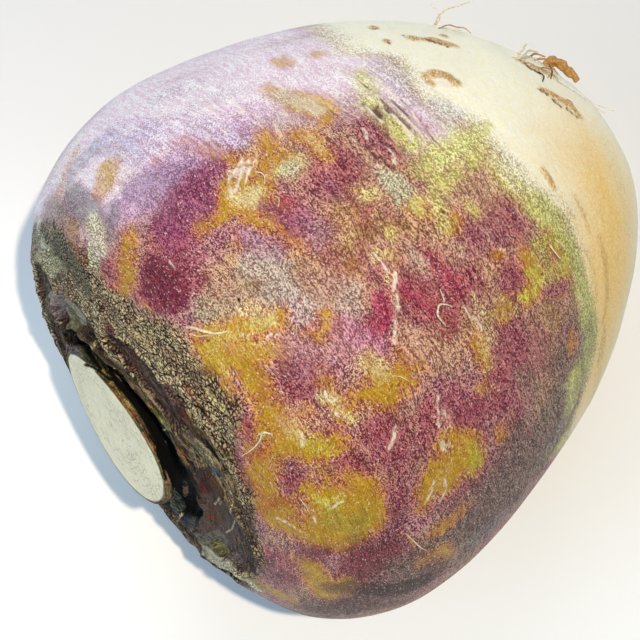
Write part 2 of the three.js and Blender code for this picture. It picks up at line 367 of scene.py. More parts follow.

# %% [markdown]
# ## Blushes, bloom and dull skin, with painted sheen and shade
# The rind's own colour changes in broad, soft patches. Crimson ones are where the pigment is
# thick, russet ones where the skin is dry, and green ones where light reached it. Bloom is a
# pale wax on the shoulder, and its field also carries a painted sheen where the shoulder faces
# the window. The underside is dull, and its field also carries painted shade that darkens the
# lower flank. They are kept as separate fields, as they overlap on a real root and each has
# an edge of its own softness.

# %% Where the skin is deep crimson, russet, in bloom with painted sheen, dull with painted shade, or green
CRIMSON = [
    [(-20.7, 22, 3.4), (-19.5, 18, 2.3), (-23.8, 20, 2.4)],
    [(-29.2, 17, 2.9), (-27, 13, 3.7), (-25.6, 9, 2.7)],
    [(-32.9, 14, 3.5), (-29.9, 10, 3.3), (-27.5, 8, 1.8)],
    [(-8.3, 24, 2.9), (-5.8, 22, 1.9), (-12.2, 24, 3.9), (-11.9, 20, 3.3), (-15.6, 27, 3)],
    [(-17.9, 23, 3.4), (-16, 19, 2.8), (-22.6, 25, 2.4)],
    [(-1.5, 9, 2.3), (-0.9, 6, 2.7), (-4.1, 5, 2.7)], [(-6.3, 10, 1.4)],
    [(10.4, 10, 3.4), (11.7, 8, 2.9), (6.7, 9, 2.8), (7.7, 6, 2.3)],
    [(23.3, 15, 2.6), (23.3, 11, 2.5), (23.6, 7, 2)], [(11, -2, 2.3), (11.4, 0, 1.9)],
    [(15.7, -15, 2.8), (18, -18, 3.3), (19.7, -22, 2.9), (21.3, -22, 1.2)],
    [(7.7, -14, 2.7), (9.4, -17, 3.2), (12.1, -20, 3.3), (8, -20, 3.2), (13.1, -23, 2.8)],
    [(2.2, -14, 2.2), (0.2, -17, 2.7), (-2.5, -18, 2.7), (-1.5, -20, 1.8)],
    [(36, -17, 3), (37.3, -20, 2), (32.6, -18, 2)], [(25.9, -16, 2.4), (26.6, -14, 1.9)],
    [(29.3, -26, 3), (26.6, -28, 2)], [(39.4, -36, 1.9), (37, -35, 1.4)],
    [(22.3, -34, 2.6), (24.6, -39, 3.2), (27.9, -43, 2.8), (20.3, -38, 3.1), (22.6, -42, 3.3)],
    [(16.1, -41, 3.7), (11, -41, 4.1), (15.4, -45, 3.8), (7, -41, 3.6), (3.5, -41, 2.5)],
    [(7, -46, 2.6), (6.4, -38, 3), (4.7, -35, 2.4)], [(18, -50, 2.9), (14.7, -52, 2.3)],
    [(1.6, -35, 2.4), (-1.7, -37, 2.4), (-4.3, -40, 1.9)],
    [(-11.3, -33, 2.7), (-9.7, -36, 3.2), (-12.2, -38, 2.8), (-9.5, -39, 2.8)],
    [(-18.7, -37, 2.3), (-18.1, -39, 2.1), (-18.9, -34, 1.8)], [(-21.6, -25, 1.3)],
    [(-16.5, -31, 1.3), (-17.7, -29, 1.8)],
    [(-20.9, -17, 2.6), (-19.5, -20, 2.6), (-22.4, -20, 1.8)],
    [(-16.2, -18, 1.7), (-17.3, -21, 1.3)], [(-13.2, -45, 2.5), (-13.2, -49, 2.5), (-15.4, -50, 2)],
    [(-10.8, -42, 2.4)],
    [(-23.8, -58, 3.9), (-21.3, -62, 4.6), (-18.1, -60, 3.9), (-26.4, -65, 3.6), (-22.8, -67, 3.7)],
    [(-18.5, -56, 2.7), (-21.1, -56, 2.2)], [(-30.5, -55, 2.2), (-33.8, -58, 1.8)],
    [(-43.3, -64, 4.2), (-46.9, -77, 4.2), (-40.4, -69, 2.8)],
    [(-31.3, -20, 1.4), (-33.4, -22, 1.2)],
    [(-40.2, -30, 2.3), (-40.2, -26, 1.7), (-39.1, -34, 1.7)],
    [(-30.8, -35, 2.4), (-32.2, -38, 1.8)], [(-48.1, 13, 2.6), (-50.7, 9, 2.1), (-45.8, 19, 2.6)],
    [(-35.6, 27, 2.3), (-36.6, 26, 1.7)], [(-2.5, -62, 2.5), (1.9, -64, 2.6)],
    [(1.9, -54, 2.9), (6, -55, 2.9), (-3, -55, 2.2)], [(9.7, -57, 2.4), (12.1, -55, 1.8)],
    [(-20, 124, 5), (-13, 132, 6), (-7, 129, 5)], [(5, 140, 5), (12, 147, 6), (16, 152, 4)],
    [(-30, 160, 5), (-24, 168, 5)], [(-10, 176, 6), (-2, -178, 6)], [(15, -170, 6), (23, -163, 5)],
    [(-16, -150, 6), (-8, -144, 5)], [(6, -141, 4), (14, -136, 5)], [(24, 132, 4), (29, 140, 4)],
    [(-34, -158, 4), (-30, -150, 4)], [(30, -150, 4), (33, -140, 3)], [(2, 112, 4), (8, 116, 4)],
]
RUSSET = [
    [(-23.3, 3, 3.1), (-18.1, 4, 3.5), (-13.2, 2, 3.5), (-8.8, 1, 3.5)],
    [(-25.3, 2, 2.2), (-21.3, 1, 2.2)], [(-6.7, -1, 3.1), (-5, -4, 3.1), (-8.3, -5, 2.6)],
    [(3.2, -1, 3.6), (5.4, -4, 3.6), (9.7, -6, 3.7), (15.1, -7, 3.7)], [(4.1, 3, 3.2), (7, 0, 2.8)],
    [(11.4, 5, 3.3), (13.4, 1, 2.8), (16.4, -2, 2.8)],
    [(19.3, 1, 3.3), (20.6, -2, 2.4), (17.4, 4, 2.4)],
    [(15.7, -10, 3.7), (14.1, -13, 3.3), (19.7, -10, 2.8)], [(10, -11, 1.8), (11, -13, 1.4)],
    [(26.6, -7, 2.9), (28.9, -11, 2.4), (22.9, -11, 2.9)],
    [(33.3, -6, 4), (37, -9, 3.5), (32.6, -10, 3)],
    [(-0.9, -9, 2.7), (-1.5, -11, 2.2), (-4.8, -10, 2.6)],
    [(7.3, -26, 3.8), (8.7, -29, 3.3), (7, -24, 2.3)],
    [(19, -29, 3.4), (22.6, -30, 3), (14.7, -28, 2.9)],
    [(30.9, -38, 3.8), (34.6, -42, 4), (31.6, -44, 3.4)], [(25.3, -22, 2.9), (22.3, -25, 2.4)],
    [(38, -23, 3.6), (33.6, -24, 3.1), (37, -31, 2.7)], [(37, -40, 3.4), (41.1, -40, 2.9)],
    [(1.3, -22, 2.7), (1.6, -25, 2.3)], [(-5.8, -18, 1.8), (-8.1, -18, 1.7)],
    [(-2, 15, 1.4), (0.5, 21, 1.5)], [(2.5, 14, 2.4), (2.8, 11, 1.9)],
    [(9, -61, 3.2), (5.4, -64, 4), (-1.2, -65, 4)], [(27.3, -53, 4.3), (23.3, -55, 3.7)],
    [(-14.3, -27, 1.8), (-11.9, -29, 1.8)], [(-10.8, -42, 1.9), (-15.2, -42, 1.9), (-16, -40, 1.4)],
    [(6.4, -9, 2.7), (7, -13, 1.8)], [(-5, 150, 6), (4, 160, 6)], [(20, 170, 5), (26, 178, 5)],
    [(-25, -172, 6), (-20, -162, 6)], [(-2, -158, 5)], [(28, 118, 4), (32, 126, 4)],
    [(-12, 112, 3), (-8, 116, 3)], [(16, -150, 4)],
]
# Bloom: a pale wax on the upper shoulder, with a painted sheen where it faces the window.
BLOOM_AND_SHEEN = [
    [(-19.5, 65, 10.1), (-13.9, 56, 11.6), (-4.6, 48, 12.3), (5.1, 44, 12.1), (16.4, 43, 11.8),
     (25.9, 40, 10.2), (31.9, 32, 7.5)],
    [(-21.1, 48, 7), (-14.8, 41, 8.1), (-6.3, 38, 8.6), (3.8, 35, 8.7), (13.7, 32, 7.6),
     (23.3, 29, 6.9), (29.9, 25, 5.7)],
    [(32.6, 22, 4.5), (34, 16, 3.8), (34.3, 9, 3.1), (35.3, 6, 2.1)],
    [(-26.1, 39, 4.5), (-18.9, 32, 3.6)], [(-28.9, 68, 5.5), (-25.6, 61, 4.9)],
    [(-34, 84, 7), (-12, 90, 11), (10, 88, 10), (28, 82, 7)],
    [(-22, 106, 8), (0, 110, 9), (18, 104, 7)],
    [(-38, 75, 7), (-14, 78, 10), (10, 78, 10), (30, 73, 9)],
    [(-32, 66, 7), (-12, 62, 11), (8, 60, 11), (24, 57, 10), (36, 53, 5)],
]
# Dull skin on the lower flank and underside, darkened further by painted shade.
DULL_AND_SHADE = [
    [(44.9, -50, 3.3), (40.1, -57, 4.9), (31.6, -60, 7.1), (23.3, -64, 8.8), (14.4, -65, 9.3),
     (5.1, -67, 9.3), (-4.6, -68, 9), (-13, -72, 7.7), (-20.3, -76, 6.6), (-27.3, -80, 5.6),
     (-34.6, -90, 5.5)],
    [(16.1, -56, 4.3), (9.4, -58, 3.7), (3.2, -60, 3.7), (-4.8, -60, 3)],
    [(-17.1, -67, 5), (-10.4, -67, 3.9)], [(39.4, -47, 3), (32.6, -49, 2.4)],
    [(-49.8, -75, 3.4), (-51.8, -69, 3.4)],
    [(-30, -108, 8), (-10, -112, 10), (10, -112, 10), (28, -110, 9)],
    [(-25, -132, 8), (0, -136, 9), (20, -130, 8)], [(-20, 156, 6), (-8, 164, 7)],
]
GREENED = [
    [(44.6, 1, 1.6), (39.7, 1, 2.3), (34.6, 1, 2.3), (30.3, 1, 2.5), (26.9, 0, 1.7)],
    [(27.6, -2, 1.7), (26.9, -4, 1.2), (37.3, -2, 1.5), (40.1, -2, 1.5)],
    [(41.8, -6, 1.8), (41.4, -9, 1.8), (43.9, -12, 1.6)],
    [(44.2, -18, 2.6), (47.4, -23, 3.3), (47, -29, 2.5)],
    [(47.4, -35, 1.7), (47.4, -40, 2.4), (47, -46, 2.5), (44.6, -49, 1.9)],
    [(44.2, -55, 1.7), (42.1, -59, 1.8), (41.1, -60, 1.9)], [(2.5, 15, 1.9), (4.7, 15, 1.5)],
    [(31.3, 26, 0.9), (27.6, 19, 1.3), (27.3, 14, 1.6), (27.3, 9, 1.5), (27.9, 7, 1.3)],
    [(35.7, -59, 2.8), (33.3, -62, 2.2)], [(29.3, -74, 2.3), (32.6, -78, 2.3)],
    [(40, 90, 2.5), (43, 110, 2.5)], [(38, 130, 2), (39, 150, 2.5)],
    [(36, -160, 2.5), (34, -140, 2.5)], [(33, -120, 2.5), (32, -108, 2)],
]
fields = {
    "crimson": reach(smooth_skin, CRIMSON),
    "russet": reach(smooth_skin, RUSSET),
    "bloom_and_sheen": reach(smooth_skin, BLOOM_AND_SHEEN, 12.0),
    "dull_and_shade": reach(smooth_skin, DULL_AND_SHADE, 12.0),
    "greened": reach(smooth_skin, GREENED),
    "scraped": scraped,
}

# %% [markdown]
# ## Local colours, with some painted light and shade
# No two fingers' breadths of an old root have the same colour. Dabs of the local colour are laid
# over the rest: each has a colour, a share of the surface it covers, and a path like those
# above. Where the share is a half, half of the rind's flecks take the colour. A few dabs are
# painted light and shade instead: pale glints on scraped flesh, sheen on the shoulder, a lighter
# limb beside the crown, and darker shade on the lower limb.

# %% Dabs of colour, painted light and painted shade
DAUBS = [
    ((176, 128, 168), 0.55, [(-27.1, 34, 3.2), (-18.5, 29, 4.1), (-6.5, 28, 4.6),
     (1.3, 27, 3.7)]),
    ((196, 158, 190), 0.5, [(-14.1, 35, 3.8), (-1.2, 32, 3.8), (8.3, 29, 3.3)]),
    ((150, 96, 128), 0.45, [(-13.2, 20, 3.3), (-18.5, 21, 2.9), (-7.2, 22, 2.4)]),
    ((160, 104, 124), 0.5, [(-16, -13, 3), (-14.1, -17, 3), (-9.3, -16, 2.2)]),
    ((160, 104, 118), 0.45, [(-18.5, -9, 2.2), (-18.1, -16, 2.6)]),
    ((172, 112, 128), 0.5, [(-8.3, -18, 3.1), (-4.1, -19, 2.7), (-7.9, -14, 2.2)]),
    # The first and the fourth of the next daubs, pale cream along longitudes 58 to 69, are painted
    # glints on scraped flesh.
    ((236, 214, 170), 0.85, [(-14.8, 65, 0.9), (-18.9, 66, 1.4), (-23.8, 67, 1.6),
     (-27, 69, 1.1)]),
    ((206, 146, 112), 0.55, [(-19.5, 60, 1.3), (-23.8, 60, 1.6), (-28.8, 58, 1.5)]),
    ((232, 196, 150), 0.6, [(-26.1, 60, 0.8), (-30, 58, 0.8)]),
    ((150, 84, 86), 0.4, [(-31, 60, 2.4), (-34, 62, 2.5)]),
    ((214, 160, 136), 0.75, [(-20.7, 43, 2.4), (-22.4, 40, 2), (-24.9, 41, 1.4)]),
    ((104, 88, 92), 0.65, [(-28.6, 50, 2.6), (-28.8, 42, 2.7), (-28.3, 38, 2.2)]),
    ((120, 104, 112), 0.5, [(-30.5, 55, 2.5), (-32, 48, 2.9), (-29.6, 36, 2.2)]),
    ((132, 118, 104), 0.6, [(-34.1, 64, 4.3), (-35.4, 52, 4.3), (-36.9, 46, 4)]),
    ((110, 98, 84), 0.65, [(-37.3, 74, 3.7), (-41.1, 67, 4.6), (-42.4, 52, 3.9)]),
    ((160, 112, 88), 0.5, [(-34.7, 48, 2.7), (-35.3, 43, 1.9)]),
    ((218, 200, 158), 0.85, [(-30.8, 39, 1.7), (-31.7, 35, 2), (-34, 35, 2.3), (-34.1, 32, 1.7)]),
    ((226, 214, 186), 0.9, [(-37, 33, 1.2), (-37.6, 32, 1.2)]),
    ((214, 202, 174), 0.6, [(-35.1, 33, 1.2)]),
    ((78, 64, 58), 0.6, [(-31, 41, 1.2), (-29.4, 33, 1.4), (-31.3, 31, 1.1)]),
    ((150, 82, 66), 0.55, [(-37.5, 43, 2), (-38.2, 38, 1.6), (-37.8, 30, 1.5)]),
    ((172, 92, 66), 0.5, [(-34.1, 27, 1.1), (-35.9, 23, 1.4), (-38.4, 23, 1.2)]),
    ((160, 146, 118), 0.6, [(-25.6, 4, 2.2), (-23.3, 1, 2.6), (-19.5, 0, 2.2)]),
    ((134, 128, 108), 0.5, [(-28.3, 3, 1.6), (-27, 1, 1.3)]),
    ((164, 126, 118), 0.55, [(-17.1, 1, 3.9), (-11.7, -2, 3.9), (-13, 2, 3.1)]),
    ((148, 112, 100), 0.45, [(-21.5, 4, 3.1), (-18.3, 4, 2.6), (-16.7, -3, 2.2)]),
    ((124, 112, 70), 0.45, [(-16.9, 2, 1.7), (-12.8, -4, 1.7), (-8.3, -5, 1.5)]),
    ((140, 120, 92), 0.35, [(-9, -1, 1.7), (-10.8, 3, 1.5)]),
    ((150, 80, 62), 0.5, [(8.7, 3, 2.8), (9.7, -1, 3.2), (4.4, 1, 2.7)]),
    ((160, 88, 70), 0.45, [(-0.6, -2, 2.7), (1.3, -6, 2.2), (5.7, -5, 2.3)]),
    ((196, 160, 104), 0.6, [(11.7, 4, 1.2), (12.4, 2, 1.4), (13.7, 0, 0.9)]),
    ((204, 166, 112), 0.65, [(11.4, -2, 1.2), (11.4, -5, 1.4), (11.4, -7, 1.2)]),
    ((200, 162, 108), 0.55, [(5.1, 1, 1.1), (5.1, -2, 1.1), (1.9, -4, 1.1)]),
    ((186, 172, 120), 0.55, [(19, -4, 1.2), (19, -6, 1.2)]),
    ((186, 178, 150), 0.65, [(18, 4, 1.7), (19.3, 1, 2.2), (20.3, -1, 1.4)]),
    ((176, 166, 146), 0.5, [(12.7, -11, 1.4), (13.1, -14, 1.4)]),
    ((214, 172, 126), 0.75, [(6, -7, 0.7), (6, -9, 0.7), (5.7, -12, 0.7)]),
    ((226, 190, 146), 0.8, [(8.7, -9, 0.9), (8.7, -10, 0.7)]),
    ((222, 176, 140), 0.75, [(7.3, -12, 0.7), (6, -14, 0.8), (4.4, -16, 0.6)]),
    ((214, 170, 146), 0.6, [(3.5, -17, 0.6), (1.6, -20, 0.7), (0.2, -21, 0.5)]),
    ((164, 92, 84), 0.45, [(30.3, -12, 3), (33.6, -16, 3), (35.3, -21, 2.5)]),
    ((176, 134, 112), 0.45, [(26.9, -7, 2.9), (30.9, -9, 3), (36.7, -8, 3)]),
    ((176, 158, 96), 0.6, [(24.6, -3, 1.4), (23.6, -7, 1.2), (23.6, -11, 1.2)]),
    ((186, 176, 92), 0.7, [(29.6, -10, 1), (29.6, -12, 1.2)]),
    ((210, 200, 118), 0.6, [(29.9, 1, 2), (34.3, 1, 2), (40.1, 1, 2.3), (45.6, 2, 1.9)]),
    ((206, 204, 126), 0.75, [(29.9, 0, 1.5), (35.7, 0, 1.5), (41.1, 0, 1.6)]),
    ((226, 216, 158), 0.75, [(41.4, -7, 1.5), (41.8, -9, 1.5), (42.1, -12, 1.3)]),
    ((198, 188, 124), 0.55, [(43.5, -13, 1.6), (44.6, -16, 2.1), (46.7, -20, 2.2)]),
    ((168, 160, 100), 0.6, [(45.6, -19, 2.1), (47.7, -24, 2.7), (48.4, -29, 2.8)]),
    ((158, 156, 88), 0.65, [(47.4, -32, 2.3), (47.4, -37, 2.4), (46.7, -42, 2.4)]),
    ((146, 150, 84), 0.65, [(46.7, -46, 2.2), (46, -52, 2.4), (44.6, -57, 2.2)]),
    ((138, 132, 92), 0.55, [(43.5, -51, 2.6), (40.8, -56, 2.8), (37.7, -61, 2.9)]),
    ((176, 168, 70), 0.7, [(38.7, -25, 1.6), (42.5, -26, 1.9), (45.6, -29, 1.7),
     (44.9, -32, 1.7)]),
    ((190, 180, 80), 0.7, [(34.6, -29, 1.8), (35.3, -31, 1.3), (43.9, -34, 1.7)]),
    ((160, 120, 88), 0.5, [(40.1, -30, 2.1), (39.7, -33, 1.9)]),
    ((200, 196, 70), 0.7, [(29.9, -31, 1.3), (32.3, -32, 1.1)]),
    ((174, 150, 92), 0.5, [(23.9, -28, 1.7), (25.9, -31, 1.8), (20.3, -29, 1.5)]),
    ((190, 166, 120), 0.5, [(19, -24, 1), (18.7, -29, 1), (18, -33, 1)]),
    ((186, 148, 108), 0.5, [(15.7, -24, 0.7), (15.4, -27, 0.7), (15.7, -30, 0.7)]),
    ((150, 104, 92), 0.45, [(29.9, -37, 4.3), (33.6, -44, 4), (27.9, -43, 3.9)]),
    ((168, 124, 100), 0.5, [(7, -28, 3.3), (5.1, -24, 2.8), (7.7, -32, 2.4)]),
    ((176, 130, 116), 0.5, [(2.5, -21, 2.7), (2.2, -25, 2.8)]),
    ((186, 140, 112), 0.55, [(-1.7, -8, 2.7), (-2.3, -12, 2.6), (1.9, -12, 1.8)]),
    ((206, 168, 112), 0.6, [(15.4, -32, 1.2), (15.4, -35, 1), (14.4, -37, 1)]),
    ((196, 150, 104), 0.5, [(10.7, -37, 0.7), (11.4, -40, 0.8), (14.1, -41, 0.8)]),
    ((134, 110, 92), 0.5, [(21.3, -43, 2.2), (23.6, -50, 2.9), (20, -52, 2.4)]),
    ((124, 104, 88), 0.5, [(31.6, -52, 2.5), (27.3, -56, 3.2), (22.3, -58, 3.3)]),
    ((148, 136, 112), 0.45, [(34, -61, 2.2), (29.6, -65, 2.7), (24.9, -68, 2.4)]),
    ((108, 86, 80), 0.45, [(10.7, -60, 2.5), (5.7, -63, 2.6), (-0.1, -63, 2.6)]),
    ((150, 92, 54), 0.5, [(-2, -59, 1.5), (1.3, -60, 1.5), (-4.3, -60, 1.2)]),
    ((126, 116, 112), 0.5, [(8.3, -75, 3.7), (2.2, -73, 3.3), (-3.3, -73, 3.1)]),
    ((196, 140, 110), 0.5, [(-22.4, -23, 2.7), (-25.4, -23, 2.2), (-20.1, -26, 1.8)]),
    ((214, 160, 110), 0.6, [(-25.3, -25, 1.8), (-24.4, -27, 1.4)]),
    ((226, 186, 120), 0.75, [(-17.3, -22, 0.9), (-16, -24, 0.9), (-15.8, -26, 1.1),
     (-14.5, -29, 0.9)]),
    ((236, 206, 150), 0.8, [(-16.5, -22, 0.7), (-15, -24, 0.5)]),
    ((196, 130, 104), 0.6, [(-7.7, -35, 0.5), (-9.5, -36, 0.7), (-11.3, -38, 0.6)]),
    ((206, 146, 132), 0.6, [(2.2, -34, 0.4), (0.8, -36, 0.4), (-0.6, -39, 0.4)]),
    ((212, 160, 140), 0.6, [(1.9, -37, 0.4), (0.8, -40, 0.4)]),
    ((220, 170, 130), 0.6, [(2.5, -39, 0.5), (1.9, -41, 0.5)]),
    ((206, 180, 150), 0.7, [(-1.2, -42, 0.7), (-0.6, -44, 0.8)]),
    ((150, 62, 52), 0.5, [(-25.4, -15, 1.3), (-26.8, -17, 1.1)]),
    ((170, 76, 40), 0.55, [(-26.4, -6, 1.1), (-24.7, -6, 0.9)]),
    ((186, 96, 50), 0.5, [(-36.3, -28, 1.3), (-33.2, -28, 1), (-30.5, -26, 0.9)]),
    ((150, 50, 30), 0.5, [(-40.1, -43, 1.5), (-35.9, -40, 1.6), (-31.4, -41, 1.3)]),
    ((196, 120, 48), 0.5, [(-38.4, -35, 1.4), (-38.2, -40, 1.4)]),
    ((176, 106, 60), 0.5, [(-22.2, -39, 1.9), (-20.7, -41, 1.4)]),
    ((160, 96, 52), 0.45, [(-32.6, -54, 1.7), (-27.8, -55, 1.6)]),
    ((86, 50, 44), 0.5, [(-23.7, -53, 2.1), (-20.5, -57, 2.2), (-15.6, -57, 1.6)]),
    ((120, 50, 50), 0.45, [(-26.3, -61, 2.9), (-22.4, -65, 2.4)]),
    ((150, 140, 52), 0.5, [(-25.8, -47, 3), (-23.1, -49, 3), (-20.5, -48, 2)]),
    ((204, 196, 90), 0.6, [(-27.6, -41, 1.2), (-25.8, -43, 1.2), (-23.5, -42, 1)]),
    ((180, 168, 64), 0.55, [(-24.9, -27, 1.4), (-22.9, -30, 1.8), (-20.9, -32, 1.4)]),
    ((172, 164, 48), 0.55, [(4.7, -48, 1.6), (4.7, -51, 1.9), (2.5, -52, 1.4)]),
    ((196, 146, 84), 0.5, [(-2.3, -48, 1.6), (-5, -49, 1.6), (-7.4, -51, 1.3)]),
    ((206, 160, 92), 0.5, [(-27.5, -4, 1.8), (-23.1, -8, 1.7), (-20.1, -10, 1.3)]),
    ((216, 176, 92), 0.6, [(-27.3, -1, 1.3), (-25.1, -4, 0.9), (-20.1, -5, 1.1),
     (-17.1, -6, 1.1)]),
    ((196, 160, 58), 0.6, [(-30, -3, 1.4), (-29.9, -6, 1.4), (-29.9, -9, 1.1)]),
    ((232, 206, 146), 0.65, [(-7.9, 16, 1.9), (-6.5, 13, 1.8), (-3.8, 14, 1.4)]),
    ((204, 172, 110), 0.5, [(15.4, 25, 2.2), (17.7, 23, 2.1)]),
    ((190, 166, 124), 0.5, [(12.4, 31, 1.7), (13.7, 27, 1.4)]),
    ((166, 142, 124), 0.4, [(3.5, 14, 1.9), (6, 14, 1.5)]),
    ((232, 160, 84), 0.7, [(51.3, -13, 0.7), (51.7, -15, 0.8), (51.3, -18, 0.7)]),
    ((224, 160, 92), 0.6, [(56.3, -23, 0.9), (56.6, -28, 1.1), (55.9, -33, 0.9)]),
    ((220, 152, 86), 0.55, [(58.6, -37, 1.3), (57.8, -44, 1.6), (54, -53, 1.5),
     (50.2, -56, 1.1)]),
    ((222, 168, 100), 0.5, [(52.4, -36, 1.2), (51.7, -43, 1.3), (49.9, -48, 1.2)]),
    ((238, 206, 140), 0.35, [(81.9, -19, 3.6), (77, -34, 3.5), (73.3, -47, 3.3)]),
    ((196, 176, 124), 0.4, [(48.8, -62, 2.5), (46.7, -70, 2.8), (44.9, -80, 2.8),
     (40.8, -84, 2.8)]),
    ((206, 160, 100), 0.6, [(50.6, -59, 1.2), (47.7, -65, 1.4)]),
    ((232, 238, 170), 0.5, [(37.7, 8, 2.6), (38.7, 6, 2.1)]),
    ((222, 226, 214), 0.6, [(39.7, 11, 2.7), (41.8, 8, 2.4)]),
    ((196, 176, 196), 0.5, [(35, 21, 2.8), (35.3, 16, 2.7), (34.6, 12, 2.1)]),
    ((214, 198, 214), 0.5, [(36.7, 27, 3.6), (37.7, 22, 2.9)]),
    ((176, 120, 152), 0.5, [(32.9, 13, 1.3), (32.9, 10, 1.3), (34, 7, 1)]),
    ((200, 196, 110), 0.6, [(26.9, 19, 0.8), (26.6, 18, 0.8)]),
    ((190, 184, 90), 0.6, [(27.3, 11, 0.8), (27.6, 8, 1), (27.6, 6, 0.8)]),
    ((122, 92, 110), 0.6, [(26.6, 16, 0.8), (26.9, 14, 0.8)]),
    ((100, 26, 38), 0.7, [(-30.8, 15, 2.9), (-28.1, 12, 3.3), (-27.6, 9, 2.1), (-31.9, 11, 2.2)]),
    ((112, 36, 52), 0.6, [(-25.8, 16, 1.9), (-24.7, 11, 1.8)]),
    ((96, 30, 42), 0.6, [(-25.1, -57, 2.2), (-21.3, -62, 3.5), (-17.7, -59, 2.8),
     (-24.7, -65, 3)]),
    ((104, 34, 40), 0.55, [(-34.3, -58, 2.4), (-30.7, -56, 2.2)]),
    ((90, 44, 40), 0.5, [(-45, -69, 3.8), (-41, -71, 2.9)]),
    ((84, 56, 54), 0.5, [(-31.3, -80, 3.2), (-22.9, -78, 3), (-17.3, -75, 3)]),
    ((72, 44, 40), 0.45, [(-36.8, -90, 2.8), (-27, -85, 2.7)]),
    ((128, 58, 92), 0.75, [(-6.3, 23, 1.7), (-9.5, 24, 2.2), (-13.5, 24, 2.7), (-17.3, 23, 3.1),
     (-20.9, 22, 3.1), (-21.6, 18, 2.8)]),
    ((130, 60, 90), 0.7, [(-11.5, 21, 2.4), (-13, 18, 1.9), (-15.8, 18, 1.9)]),
    ((138, 56, 84), 0.6, [(-19.7, 15, 2.1), (-22.8, 16, 2.3), (-20.7, 12, 2)]),
    ((148, 112, 152), 0.6, [(-15.4, 32, 2.3), (-18.9, 32, 2.3), (-22.4, 33, 1.8)]),
    ((150, 120, 160), 0.5, [(-12.6, 29, 2), (-9.7, 28, 1.8)]),
    ((104, 102, 112), 0.7, [(-25.3, 35, 1.3), (-27.6, 33, 1.6)]),
    ((118, 114, 122), 0.6, [(-28.4, 49, 2.9), (-29.7, 43, 2.7), (-26.8, 41, 1.7)]),
    ((146, 142, 154), 0.55, [(-25.3, 56, 3.3), (-21.5, 55, 3.2), (-18.5, 53, 2.8)]),
    ((160, 150, 170), 0.45, [(-16, 53, 3.5), (-15.8, 44, 3), (-15.4, 38, 2.2)]),
    ((70, 76, 62), 0.6, [(-39.3, 52, 3), (-41, 45, 3.2), (-43.2, 38, 3.1)]),
    ((206, 204, 160), 0.7, [(-30.7, 38, 1.7), (-32.6, 35, 1.7), (-37.6, 34, 1.5)]),
    ((228, 168, 118), 0.75, [(-20.1, 44, 1.8), (-22, 41, 1.7)]),
    ((212, 150, 130), 0.6, [(-24.4, 42, 1.7), (-25.1, 39, 1.4)]),
    ((232, 218, 150), 0.75, [(-17.7, 76, 1.4), (-21.8, 73, 1.4), (-26.1, 73, 1.4)]),
    ((222, 170, 158), 0.6, [(-18.9, 62, 1.3), (-22.8, 61, 1.2), (-26.4, 58, 1.2),
     (-29.7, 55, 1.1)]),
    ((166, 156, 150), 0.6, [(-14.3, 4, 2.4), (-11, 2, 2.6), (-9.7, -3, 2.6), (-14.1, -2, 2.2)]),
    ((172, 156, 156), 0.55, [(-10.2, -6, 2.4), (-12.6, -8, 1.9), (-5.3, -8, 2.4),
     (-2, -10, 2.2)]),
    ((166, 150, 150), 0.5, [(-4.8, -11, 2.2), (-3.6, -13, 1.8)]),
    ((138, 96, 58), 0.7, [(-7.7, -2, 1.7), (-7.9, -5, 1.5)]),
    ((136, 92, 56), 0.65, [(1.9, -4, 1.6), (1, -7, 1.8)]),
    ((134, 94, 52), 0.65, [(6.7, -3, 1.8), (10.4, -4, 1.8), (14.1, -6, 1.9)]),
    ((150, 108, 66), 0.6, [(6, 3, 1.8), (8, 1, 1.6)]),
    ((214, 190, 112), 0.8, [(8.7, -9, 0.9)]),
    ((206, 186, 104), 0.7, [(11.4, -6, 1.2)]),
    ((206, 184, 110), 0.7, [(6.7, -8, 0.9)]),
    ((204, 186, 120), 0.7, [(11.7, 2, 1.2), (13.7, 2, 0.9)]),
    ((210, 198, 108), 0.7, [(20.3, -4, 1.4), (19, -6, 1.2)]),
    ((208, 196, 104), 0.7, [(22.9, -6, 1), (22.3, -8, 1.2), (21.6, -11, 1.2)]),
    ((152, 40, 76), 0.75, [(1.9, -14, 1.8), (1.3, -17, 1.8), (-1.7, -18, 1.8)]),
    ((154, 44, 74), 0.75, [(7, -15, 1.8), (9.4, -17, 2.3), (10.4, -21, 1.9)]),
    ((158, 62, 78), 0.65, [(16.1, -14, 1.9), (16.4, -18, 2.1), (16.4, -21, 2.1)]),
    ((150, 70, 72), 0.55, [(13.4, -23, 2.4), (10.7, -26, 2.4)]),
    ((150, 50, 82), 0.6, [(6, -10, 1.1), (2.8, -10, 1.1)]),
    ((178, 112, 140), 0.6, [(-6.5, -14, 2), (-5.5, -18, 2.2), (-3, -21, 1.8)]),
    ((124, 60, 94), 0.7, [(-5.3, 11, 1.4), (-4.3, 8, 1.6), (-3.6, 4, 1.8)]),
    ((140, 34, 76), 0.75, [(-1.7, 9, 1.4)]),
    ((146, 104, 130), 0.6, [(-11.3, 9, 1.8), (-11, 6, 2), (-8.8, 3, 1.8)]),
    ((140, 98, 120), 0.55, [(-0.4, 5, 2), (0.5, 1, 2.3), (-2.8, 0, 2)]),
    ((176, 174, 146), 0.7, [(17.7, 2, 1.9), (19, -1, 1.9), (17, -2, 1.4)]),
    ((178, 172, 150), 0.55, [(3.5, 14, 1.9)]),
    ((150, 90, 80), 0.5, [(-1.5, -3, 1.8), (-2, -7, 1.8), (-2.8, -5, 1.8)]),
    ((120, 70, 86), 0.5, [(7.7, 8, 1.7), (7.3, 5, 1.4)]),
    ((160, 110, 100), 0.5, [(12.1, -9, 2.1), (12.1, -13, 1.8)]),
    ((120, 50, 60), 0.5, [(-20.3, -15, 2), (-16.7, -16, 1.7)]),
    # The next two daubs, pale greenish grey on the limb beside the crown, are partly its own colour
    # and partly painted light.
